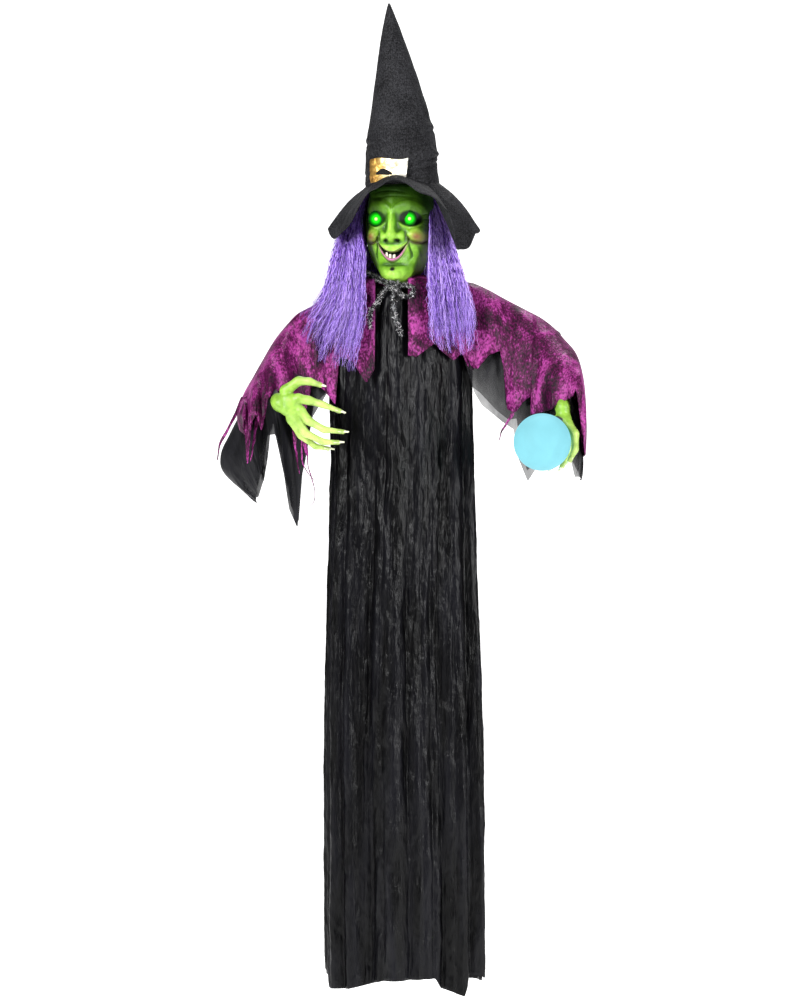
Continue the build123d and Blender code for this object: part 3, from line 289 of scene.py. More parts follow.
# ---------------------------------------------------------------- finishes
class Shader:
    """A material's nodes, with one Principled shader, and short ways to add patterns to it."""

    def __init__(self, name: str) -> None:
        """Starts an empty material of that name."""
        self.material = bpy.data.materials.new(name)
        self.material.use_nodes = True
        self.tree = self.material.node_tree
        self.bsdf = self.tree.nodes["Principled BSDF"]
        self.coords = self.tree.nodes.new("ShaderNodeTexCoord")

    def set(self, **values: object) -> "Shader":
        """Sets the shader's own sockets, with _ for a space in their names."""
        for key, value in values.items():
            self.bsdf.inputs[key.replace("_", " ")].default_value = value
        return self

    def link(self, a: bpy.types.NodeSocket, b: bpy.types.NodeSocket) -> None:
        """Joins an output to an input."""
        self.tree.links.new(a, b)

    def scaled(self, scale: tuple[float, float, float], turn: float = 0.0) -> bpy.types.NodeSocket:
        """Object coordinates, stretched, and turned about Y.

        Args:
            scale: Factor on each axis.
            turn: Angle about Y, in radians.

        Returns:
            The coordinates.
        """
        node = self.tree.nodes.new("ShaderNodeMapping")
        node.inputs["Scale"].default_value = scale
        node.inputs["Rotation"].default_value = (0, turn, 0)
        self.link(self.coords.outputs["Object"], node.inputs["Vector"])
        return node.outputs["Vector"]

    def noise(
        self, scale: float, detail: float, stretch: Colour = (1, 1, 1), warp: float = 0.0
    ) -> bpy.types.NodeSocket:
        """Cloudy noise.

        Args:
            scale: Lumps a metre.
            detail: Layers of finer noise.
            stretch: Factor on each axis before the noise is read.
            warp: How far the noise is pushed about by itself.

        Returns:
            A value from 0 to 1.
        """
        node = self.tree.nodes.new("ShaderNodeTexNoise")
        node.inputs["Scale"].default_value = scale
        node.inputs["Detail"].default_value = detail
        node.inputs["Distortion"].default_value = warp
        self.link(self.scaled(stretch), node.inputs["Vector"])
        return node.outputs["Fac"]

    def cells(self, scale: float, stretch: Colour = (1, 1, 1)) -> bpy.types.NodeSocket:
        """Distance to the nearest of scattered points.

        Args:
            scale: Points a metre.
            stretch: Factor on each axis.

        Returns:
            The distance, over a cell's size.
        """
        node = self.tree.nodes.new("ShaderNodeTexVoronoi")
        node.inputs["Scale"].default_value = scale
        self.link(self.scaled(stretch), node.inputs["Vector"])
        return node.outputs["Distance"]

    def stripes(self, scale: float, axis: str, warp: float = 0.0) -> bpy.types.NodeSocket:
        """Bands across an axis.

        Args:
            scale: Bands for each length of the pattern.
            axis: X, Y or Z.
            warp: How far the bands waver.

        Returns:
            A value from 0 to 1.
        """
        node = self.tree.nodes.new("ShaderNodeTexWave")
        node.bands_direction = axis
        node.inputs["Scale"].default_value = scale
        node.inputs["Distortion"].default_value = warp
        self.link(self.coords.outputs["Object"], node.inputs["Vector"])
        return node.outputs["Fac"]

    def attribute(self, name: str, colour: bool = False) -> bpy.types.NodeSocket:
        """A value stored on the piece's points."""
        node = self.tree.nodes.new("ShaderNodeAttribute")
        node.attribute_name = name
        return node.outputs["Color" if colour else "Fac"]

    def ramp(
        self, value: bpy.types.NodeSocket, stops: Sequence[tuple[float, Colour]]
    ) -> bpy.types.NodeSocket:
        """A colour read off a scale by a value.

        Args:
            value: The value that reads the scale.
            stops: Places on the scale, in order, each with its colour.

        Returns:
            The colour.
        """
        node = self.tree.nodes.new("ShaderNodeValToRGB")
        marks = node.color_ramp.elements
        marks[0].position, marks[0].color = stops[0][0], (*stops[0][1], 1)
        marks[1].position, marks[1].color = stops[-1][0], (*stops[-1][1], 1)
        for place, colour in stops[1:-1]:
            marks.new(place).color = (*colour, 1)
        self.link(value, node.inputs["Fac"])
        return node.outputs["Color"]

    def math(
        self, kind: str, a: bpy.types.NodeSocket, b: "bpy.types.NodeSocket | float"
    ) -> bpy.types.NodeSocket:
        """Arithmetic on two values.

        Args:
            kind: The operation's name.
            a: First value.
            b: Second value, or a plain number.

        Returns:
            The result.
        """
        node = self.tree.nodes.new("ShaderNodeMath")
        node.operation = kind
        self.link(a, node.inputs[0])
        if isinstance(b, float):
            node.inputs[1].default_value = b
        else:
            self.link(b, node.inputs[1])
        return node.outputs[0]

    def spread(self, value: bpy.types.NodeSocket, low: float, high: float) -> bpy.types.NodeSocket:
        """Moves a value from 0..1 to low..high.

        Args:
            value: The value.
            low: What 0 becomes.
            high: What 1 becomes.

        Returns:
            The moved value.
        """
        node = self.tree.nodes.new("ShaderNodeMapRange")
        node.inputs["To Min"].default_value = low
        node.inputs["To Max"].default_value = high
        self.link(value, node.inputs["Value"])
        return node.outputs["Result"]

    def multiply(self, a: bpy.types.NodeSocket, b: bpy.types.NodeSocket) -> bpy.types.NodeSocket:
        """One colour times another."""
        node = self.tree.nodes.new("ShaderNodeMix")
        node.data_type = "RGBA"
        node.blend_type = "MULTIPLY"
        node.inputs["Factor"].default_value = 1.0
        self.link(a, node.inputs[6])
        self.link(b, node.inputs[7])
        return node.outputs[2]

    def bump(self, heights: Sequence[tuple[bpy.types.NodeSocket, float]]) -> None:
        """Adds relief.

        Args:
            heights: Patterns, each with its own height in metres.
        """
        normal = None
        for value, height in heights:
            node = self.tree.nodes.new("ShaderNodeBump")
            node.inputs["Distance"].default_value = height
            node.inputs["Strength"].default_value = 1.0
            self.link(value, node.inputs["Height"])
            if normal is not None:
                self.link(normal, node.inputs["Normal"])
            normal = node.outputs["Normal"]
        self.link(normal, self.bsdf.inputs["Normal"])

    def colour(self, value: bpy.types.NodeSocket) -> None:
        """Uses a colour as the base colour."""
        self.link(value, self.bsdf.inputs["Base Color"])

    def rough(self, value: bpy.types.NodeSocket, low: float, high: float) -> None:
        """Uses a value as roughness, between two limits."""
        self.link(self.spread(value, low, high), self.bsdf.inputs["Roughness"])


@dataclass(frozen=True)
class Finish:
    """A finish that can be made into a material once."""

    name: str

    def build(self, s: Shader) -> None:
        """Adds this finish's patterns to a new shader."""
        raise NotImplementedError

    def material(self) -> bpy.types.Material:
        """The material, made on first use."""
        name = f"{self.name}_finish"
        known = bpy.data.materials.get(name)
        if known is not None:
            return known
        shader = Shader(name)
        self.build(shader)
        return shader.material


@dataclass(frozen=True)
class Taffeta(Finish):
    """Thin crinkled black cloth with a soft shine along its folds, part of it painted into the colour as lighter
    streaks.
    """

    dark: Colour = (0.0004, 0.0004, 0.0006)
    light: Colour = (0.0042, 0.0042, 0.006)
    weave: float = 1500.0

    def build(self, s: Shader) -> None:
        """Painted highlights: the colour is lighter on the long streaks that also raise the relief; relief from
        creases and the weave.
        """
        streak = s.noise(15, 6, (2.2, 2.2, 0.3), 0.2)
        crease = s.noise(26, 6, (1.7, 1.7, 0.6), 0.35)
        # painted highlights: the streaks that raise the relief also set the colour, lighter on their ridges
        s.colour(s.ramp(streak, [(0.4, self.dark), (0.68, self.light)]))
        s.rough(crease, 0.24, 0.36)
        s.set(Sheen_Weight=0.004, Sheen_Roughness=0.4, Sheen_Tint=(0.5, 0.5, 0.6, 1), Specular_IOR_Level=0.13)
        s.bump([(streak, 0.011), (crease, 0.0045), (s.stripes(self.weave / 6, "X"), 0.00004)])


@dataclass(frozen=True)
class Velvet(Finish):
    """Crushed velvet: pile laid over in patches, its sheen painted in as bright magenta beside dark plum shade."""

    dark: Colour = (0.009, 0.0002, 0.006)
    mid: Colour = (0.072, 0.001, 0.042)
    light: Colour = (0.36, 0.045, 0.26)

    def build(self, s: Shader) -> None:
        """Broad stretched patches of pile, painted lighter as sheen where they stand high, broken up by a fine
        grain.
        """
        patch = s.noise(26, 5, (1.0, 1.0, 0.55), 0.7)
        fine = s.noise(330, 5, (1, 1, 0.6), 0.3)
        both = s.math("ADD", s.math("MULTIPLY", patch, 0.55), s.math("MULTIPLY", fine, 0.45))
        # painted sheen and shade: the patches that raise the relief also set the colour, bright magenta high, dark
        # plum low
        s.colour(s.ramp(both, [(0.4, self.dark), (0.5, self.mid), (0.62, self.light)]))
        s.rough(both, 0.6, 0.34)
        s.set(Sheen_Weight=0.14, Sheen_Roughness=0.3, Sheen_Tint=(0.9, 0.12, 0.6, 1), Specular_IOR_Level=0.18)
        s.bump([(patch, 0.007), (fine, 0.0012)])


@dataclass(frozen=True)
class Chiffon(Finish):
    """Sheer black weave that shows what is behind it."""

    cover: float = 0.84

    def build(self, s: Shader) -> None:
        """A see-through share, denser where the weave bunches and near the ridge, where the layers meet."""
        bunch = s.noise(30, 4, (1, 1, 0.4), 0.6)
        s.colour(s.ramp(bunch, [(0.3, (0.002, 0.002, 0.003)), (0.7, (0.008, 0.008, 0.010))]))
        s.set(Roughness=0.62, Specular_IOR_Level=0.15)
        near = s.math("MULTIPLY", s.spread(s.attribute("fall"), 1.0, 0.0), 0.7)
        cover = s.math("ADD", s.spread(bunch, self.cover - 0.3, self.cover + 0.45), near)
        s.link(cover, s.bsdf.inputs["Alpha"])
        s.bump([(bunch, 0.004), (s.noise(900, 2), 0.0001)])


@dataclass(frozen=True)
class Felted(Finish):
    """Matt woven cloth of the hat, with painted highlights as pale flecks at the weave's scale."""

    dark: Colour = (0.003, 0.003, 0.0036)
    light: Colour = (0.034, 0.034, 0.038)
    weave: float = 460.0

    def build(self, s: Shader) -> None:
        """Painted highlight flecks at the weave's scale over slow clouds, with relief from crossed stripes and
        soft creases.
        """
        cloud = s.noise(18, 5, warp=0.4)
        fleck = s.noise(self.weave, 3, (1, 1, 0.7))
        tone = s.math("ADD", s.math("MULTIPLY", cloud, 0.25), s.math("MULTIPLY", fleck, 0.75))
        # painted highlights: paler flecks at the weave's scale, for light caught on the weave
        s.colour(s.ramp(tone, [(0.4, self.dark), (0.64, self.light)]))
        cross = s.math("MULTIPLY", s.stripes(self.weave / 6, "X", 1.2), s.stripes(self.weave / 6, "Z", 1.2))
        s.rough(cloud, 0.55, 0.75)
        s.set(Sheen_Weight=0.01, Sheen_Roughness=0.5, Sheen_Tint=(0.6, 0.6, 0.62, 1), Specular_IOR_Level=0.1)
        s.bump([(s.noise(34, 6, (1, 1, 0.8), 0.6), 0.006), (cross, 0.0005)])


@dataclass(frozen=True)
class Skin(Finish):
    """Painted soft vinyl: the paint is stored on the points, with mottle and fine pores over it."""

    rough_low: float = 0.28
    rough_high: float = 0.5

    def build(self, s: Shader) -> None:
        """The stored colour times a slow mottle."""
        mottle = s.noise(75, 6, warp=0.5)
        tone = s.ramp(mottle, [(0.3, (0.6, 0.66, 0.5)), (0.62, (1.0, 1.0, 1.0))])
        # the stored paint holds the face's painted highlights and painted shade
        s.colour(s.multiply(s.attribute("paint", True), tone))
        s.rough(mottle, self.rough_low, self.rough_high)
        s.set(Subsurface_Weight=0.08, Subsurface_Radius=(0.004, 0.006, 0.002), Specular_IOR_Level=0.45)
        s.bump([(s.noise(260, 5), 0.0006), (s.cells(900), 0.00012)])


@dataclass(frozen=True)
class Fibre(Finish):
    """Crimped synthetic hair, each strand its own tone."""

    dark: Colour = (0.018, 0.003, 0.075)
    mid: Colour = (0.17, 0.055, 0.5)
    light: Colour = (0.6, 0.4, 1.0)

    def build(self, s: Shader) -> None:
        """Tone by strand, with bands along its length."""
        band = s.noise(60, 3, (0.6, 0.6, 1.6), 0.6)
        mix = s.math("ADD", s.math("MULTIPLY", s.attribute("strand"), 0.62), s.math("MULTIPLY", band, 0.38))
        s.colour(s.ramp(mix, [(0.16, self.dark), (0.42, self.mid), (0.72, self.light)]))
        s.set(Roughness=0.38, Specular_IOR_Level=0.5, Sheen_Weight=0.1, Sheen_Tint=(0.7, 0.55, 1.0, 1))


@dataclass(frozen=True)
class Tinsel(Finish):
    """Black and silver foil filaments."""

    def build(self, s: Shader) -> None:
        """Metal, with a third of the filaments bright."""
        tones = [(0.6, (0.003, 0.003, 0.004)), (0.74, (0.08, 0.08, 0.085)), (0.86, (0.95, 0.95, 0.97))]
        s.colour(s.ramp(s.attribute("strand"), tones))
        s.set(Metallic=0.35, Roughness=0.3)


@dataclass(frozen=True)
class Lame(Finish):
    """Gold foil cloth, painted from brown-gold at one side to a pale painted highlight at the other as the foil
    turns.
    """

    def build(self, s: Shader) -> None:
        """Crinkled metal over a warm clouded tone, with a painted highlight that grows paler across the patch."""
        cloud = s.noise(55, 5, warp=1.2)
        # painted highlight: the share across the patch makes one side paler
        across = s.math("MULTIPLY", s.attribute("across"), 0.6)
        lay = s.math("ADD", s.math("MULTIPLY", cloud, 0.45), across)
        tones = [
            (0.2, (0.30, 0.14, 0.03)), (0.38, (0.7, 0.42, 0.1)), (0.58, (0.95, 0.8, 0.45)),
            (0.75, (1.0, 0.96, 0.84)),
        ]
        s.colour(s.ramp(lay, tones))
        s.rough(cloud, 0.22, 0.42)
        s.set(Metallic=0.75)
        s.bump([(cloud, 0.004), (s.noise(600, 3), 0.0003)])


@dataclass(frozen=True)
class Glow(Finish):
    """A lit translucent moulding."""

    tone: Colour = (0.3, 0.85, 0.88)
    power: float = 1.0
    body: float = 0.12       # how much of the tone the unlit plastic itself has

    def build(self, s: Shader) -> None:
        """Steady light, a little uneven as moulded plastic scatters it."""
        cloud = s.noise(20, 5, warp=0.3)
        dim = tuple(0.86 * c for c in self.tone)
        s.link(s.ramp(cloud, [(0.36, dim), (0.66, self.tone)]), s.bsdf.inputs["Emission Color"])
        unlit = (*(self.body * c for c in self.tone), 1)
        s.set(Base_Color=unlit, Emission_Strength=self.power, Roughness=0.65, Specular_IOR_Level=0.1)
        s.bump([(s.noise(400, 3), 0.0001)])


@dataclass(frozen=True)
class EyeLight(Finish):
    """An eye's lamp, pale, with its light painted round it on the cup: vivid green, then dark, by reach from its
    middle.
    """

    power: float = 1.7

    def build(self, s: Shader) -> None:
        """Emission from the stored reach over a dark cup: the lamp's nose, and painted lamp light on the cup round
        it.
        """
        reach = s.attribute("reach")
        tones = [
            (0.0, (1.0, 1.0, 0.5)), (0.13, (0.8, 1.0, 0.3)), (0.24, (0.03, 1.0, 0.02)),
            (0.5, (0.004, 0.5, 0.003)), (0.78, (0.001, 0.07, 0.001)), (1.0, (0.0, 0.0, 0.0)),
        ]
        s.link(s.ramp(reach, tones), s.bsdf.inputs["Emission Color"])
        s.set(
            Base_Color=(0.004, 0.01, 0.004, 1), Emission_Strength=self.power, Roughness=0.8,
            Specular_IOR_Level=0.05,
        )
        s.bump([(s.noise(500, 2), 0.0001)])


@dataclass(frozen=True)
class Moulded(Finish):
    """Moulded plastic with fine spark texture and a quiet random mottle, lighter and darker by patches."""

    tone: Colour = (0.03, 0.03, 0.033)
    rough: float = 0.5
    grain: float = 1400.0

    def build(self, s: Shader) -> None:
        """A quiet mottle over the tone, with grain relief."""
        cloud = s.noise(40, 4)
        dim, bright = tuple(0.8 * c for c in self.tone), tuple(min(1, 1.18 * c) for c in self.tone)
        s.colour(s.ramp(cloud, [(0.3, dim), (0.8, bright)]))
        s.rough(cloud, self.rough - 0.08, self.rough + 0.1)
        s.bump([(s.noise(self.grain, 2), 0.00006)])


@dataclass(frozen=True)
class Zinc(Finish):
    """Bright zinc plate with crystals and fine rubbing."""

    def build(self, s: Shader) -> None:
        """Cells set the tone of each crystal."""
        s.colour(s.ramp(s.cells(420), [(0.0, (0.44, 0.44, 0.45)), (0.6, (0.7, 0.7, 0.69))]))
        s.rough(s.noise(300, 4, (1, 1, 0.2)), 0.2, 0.4)
        s.set(Metallic=1.0)
        s.bump([(s.noise(900, 3, (1, 1, 0.1)), 0.00003)])


TAFFETA = Taffeta("black_taffeta")
VELVET = Velvet("plum_velvet")
CHIFFON = Chiffon("black_chiffon")
HAT_CLOTH = Felted("hat_cloth")
SKIN = Skin("green_vinyl")
FIBRE = Fibre("crimped_fibre")
TINSEL = Tinsel("black_silver_tinsel")
GOLD = Lame("gold_foil_cloth")
BLACK_NYLON = Moulded("black_nylon")
DARK_BOX = Moulded("textured_box", (0.035, 0.035, 0.038), 0.55, 900.0)
ZINC = Zinc("zinc_plate")
NODE_FINISHES: dict[str, Finish] = {
    "yoke": BLACK_NYLON,
    "zinc_steel": ZINC,
    "motor_body": Moulded("motor_case", (0.07, 0.07, 0.075), 0.45),
    "board_green": Moulded("solder_mask", (0.02, 0.14, 0.05), 0.3, 300.0),
    "cell_wrap": Moulded("cell_wrap", (0.05, 0.05, 0.055), 0.25, 200.0),
    "speaker_black": Moulded("speaker_paper", (0.015, 0.015, 0.015), 0.8, 500.0),
    "box_black": DARK_BOX,
    "slider_red": Moulded("slider_red", (0.45, 0.03, 0.02), 0.35),
    "eye_socket": Moulded("socket_black", (0.004, 0.004, 0.004), 0.7),
    "lead": Moulded("lead_jacket", (0.01, 0.01, 0.01), 0.4),
    "hat_satin": Felted("hat_satin", (0.004, 0.004, 0.005), (0.02, 0.02, 0.021), 900.0),
    "green_skin": Moulded("green_vinyl_plain", (0.2, 0.42, 0.03), 0.5),
    "hand_skin": Moulded("pale_vinyl_plain", (0.5, 0.6, 0.22), 0.5),
    "tooth": Moulded("tooth_enamel", (0.7, 0.66, 0.52), 0.3),
    "taffeta": TAFFETA, "velvet": VELVET, "chiffon": CHIFFON, "hat_cloth": HAT_CLOTH, "gold_foil": GOLD,
    "wig_net": Felted("wig_net", (0.02, 0.006, 0.05), (0.07, 0.03, 0.14), 500.0),
    "tinsel": Moulded("tinsel_core", (0.02, 0.02, 0.022), 0.35),
    "hair_purple": Moulded("hair_core", (0.13, 0.04, 0.36), 0.7),
    "ball_cyan": Glow("ball_glow", (0.33, 0.87, 1.0), 0.6, 0.2),
    "lamp_green": Glow("lamp_green", (0.1, 1.0, 0.08), 3.0),
}


class Garment(Enum):
    """The cloths a sheet can be made of, each with its thickness in metres and its record slot."""

    GOWN = (TAFFETA, 0.0010, "taffeta")
    SHEER_SINGLE = (Chiffon("black_chiffon_single", 0.62), 0.0, "chiffon")
    VELVET_LAYER = (VELVET, 0.0016, "velvet")
    SHEER = (CHIFFON, 0.0, "chiffon")
    HAT = (HAT_CLOTH, 0.0022, "hat_cloth")


def dress(piece: bpy.types.Object, finish: Finish) -> bpy.types.Object:
    """Gives a piece its material."""
    piece.data.materials.append(finish.material())
    return piece


def thicken(piece: bpy.types.Object, thickness: float) -> None:
    """Gives a sheet its thickness, half to each side."""
    wall = piece.modifiers.new("wall", "SOLIDIFY")
    wall.thickness = thickness
    wall.offset = 0.0
    wall.use_even_offset = False


def tailor(piece: bpy.types.Object, cloth: Garment) -> bpy.types.Object:
    """Finishes a sheet of one of the cloths.

    Args:
        piece: The sheet.
        cloth: Its cloth.

    Returns:
        The sheet, with its thickness and material.
    """
    finish, thickness, slot = cloth.value
    if thickness:
        thicken(piece, thickness)
    return dress(piece, finish)


def turned(points: np.ndarray, about: np.ndarray, degrees: float) -> np.ndarray:
    """Turns places about a vertical line: x and y through the angle, z kept.

    Args:
        points: Places in metres.
        about: A place on the line.
        degrees: The angle, anticlockwise from above.

    Returns:
        The turned places.
    """
    c, s = math.cos(math.radians(degrees)), math.sin(math.radians(degrees))
    q = points - about
    return np.stack([q[..., 0] * c - q[..., 1] * s, q[..., 0] * s + q[..., 1] * c, q[..., 2]], -1) + about


# ---------------------------------------------------------------- the gown
@dataclass
class Gown:
    """The long black gown, a front and a back panel."""

    body_y: float
    cut: tuple[float, float] = (0.42, 1.32)      # a panel's flat width and length
    columns: int = 150
    rows: int = 220
    # each row of the outline: height, half width, half depth, middle, all in millimetres
    outline: Points = (
        (5, 62, 42, 0), (-14, 96, 56, 0), (-50, 120, 60, 0), (-150, 132, 64, 3), (-312, 131, 64, 8),
        (-754, 144, 68, 10), (-1180, 146, 72, 12), (-1300, 145, 74, 13),
    )
    # the torn hem: share across the front, and height above the lowest point in millimetres
    tears: Points = (
        (0.0, 52), (0.07, 40), (0.085, 12), (0.25, 14), (0.42, 32), (0.63, 34), (0.66, 17), (0.76, 0),
        (0.8, 40), (0.93, 30), (1.0, 34),
    )

    def panel(self, back: bool) -> np.ndarray:
        """One panel: ovals read down the outline, pushed in and out by folds and creases.

        A point at share u across is at angle pi*u round the oval. The folds are cusped waves of that angle
        that drift and deepen as they fall; the creases are short slanted ripples.

        Args:
            back: Whether it is the back panel.

        Returns:
            Places by column and row, in metres.
        """
        u, v = grid(self.columns, self.rows)
        hem = np.interp(u, *np.array(self.tears).T) * MM
        if back:
            hem = hem[::-1] * 0.7 + 0.012
        top, low = self.outline[0][0] * MM, self.outline[-1][0] * MM
        z = top + (low + hem - top) * v
        table = np.array(self.outline)[::-1] * MM
        a, b, middle = (np.interp(z, table[:, 0], table[:, k]) for k in (1, 2, 3))
        angle = math.pi * u
        seed = 40 if back else 7
        drop = (top - z) / (top - low)
        depth = 0.0065 + 0.0125 * step(drop, 0.03, 0.75)
        drift = 0.5 * swell(drop, drop * 0, seed, 3, 0.4, 1.2)
        folds = np.zeros_like(u)
        rng = np.random.default_rng(seed)
        for turns in (5.2, 8.6, 13.0, 19.0):
            wave = np.abs(np.sin(turns * angle / 2 + rng.uniform(0, 6) + drift * rng.uniform(0.3, 1.0)))
            folds += (wave**0.75 - 0.6) * (6.5 / turns) ** 0.8
        across = u * self.cut[0]
        crease = ripple(across, z, seed + 1, 7, 9, 30, 0.75) * 0.0075
        crease = crease + ripple(across, z, seed + 2, 8, 30, 80, 1.1) * 0.0024
        edge = np.sin(angle) ** 0.5
        push = folds * depth * (0.35 + 0.65 * edge) - depth * 0.25 + crease * (0.4 + 0.6 * edge)
        side = -1 if back else 1
        nx, ny = -np.cos(angle), -side * np.sin(angle)
        return np.stack([middle + (a + push) * nx, self.body_y + (b + push * 1.15) * ny, z], -1)

    def build(self) -> None:
        for back, name in ((False, "gown_front"), (True, "gown_back")):
            piece = surface(name, self.panel(back), flip=not back)
            tailor(piece, Garment.GOWN)
            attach(piece, "torso")
            if not back:
                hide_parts("robe")
            LOG.info("%s: %d points", name, len(piece.data.vertices))


# ---------------------------------------------------------------- sleeves and cape
@dataclass
class Drape:
    """A sheet that hangs both ways off a ridge, as a sleeve does off an arm.

    ridge is a list of (x, z) and each hem a list of (share along the ridge, x, z), in millimetres. front and
    back are lists of how far each flap stands away from the ridge, in millimetres, at even steps along it.
    """

    name: str
    cloth: Garment
    ridge: Points
    hem: Points
    back_hem: Points
    front: Sequence[float]
    back: Sequence[float]
    bodies: tuple[str, str]
    blend: tuple[Points, Points]
    seed: int
    body_y: float
    inset: float = 0.0
    part: tuple[float, float] = (0.0, 1.0)
    columns: int = 120
    rows: int = 36
    replaced: tuple[str, ...] = ()

    def flap(self, u: np.ndarray, v: np.ndarray, back: bool) -> np.ndarray:
        """One flap: a quarter oval from the ridge down to the hem, with folds from one to the other.

        At share v of the way it has fallen by 1 - cos(v * pi/2) and stands away by sin(v * pi/2).

        Args:
            u: Shares along the ridge.
            v: Shares from the ridge to the hem.
            back: Whether it is the flap behind the arm.

        Returns:
            Places in metres.
        """
        top = through(self.ridge, u)
        hem = np.array(self.back_hem if back else self.hem)
        low = np.stack([np.interp(u, hem[:, 0], hem[:, k]) for k in (1, 2)], -1) * MM
        reach = self.back if back else self.front
        out = np.interp(u, np.linspace(0, 1, len(reach)), reach) * MM - self.inset
        fall, away = 1 - np.cos(v * math.pi / 2), np.sin(v * math.pi / 2)
        place = top + (low - top) * (0.12 * v + 0.88 * fall)[..., None]
        sign = 1 if back else -1
        seed = self.seed + (5 if back else 0)
        fold = ripple(u * 0.9, v * 0.16, seed, 7, 5, 15, 0.5) * 0.024
        fold = fold + ripple(u * 0.5, v * 0.2, seed + 1, 8, 14, 45) * 0.006
        y = self.body_y + sign * (out * away + fold * v**0.8)
        sway = swell(u, v * 0.4, seed + 2, 4, 1.5, 4.0) * 0.0035 * v
        return np.stack([place[..., 0] + sway, y, place[..., 1] - self.inset * (1 - v)], -1)

    def build(self) -> bpy.types.Object:
        """Makes the sheet, back flap, ridge and front flap in one grid."""
        u, t = grid(self.columns, 2 * self.rows - 1)
        u = self.part[0] + (self.part[1] - self.part[0]) * u
        half = self.rows - 1
        v = np.abs(t - 0.5) * 2
        points = np.concatenate(
            [self.flap(u[:, :half], v[:, :half], True), self.flap(u[:, half:], v[:, half:], False)], axis=1
        )
        piece = surface(self.name, points, flip=self.ridge[-1][0] > 0)
        paint(piece, "fall", v)
        tailor(piece, self.cloth)
        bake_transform(piece)
        if self.replaced:
            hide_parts(*self.replaced)
        return piece


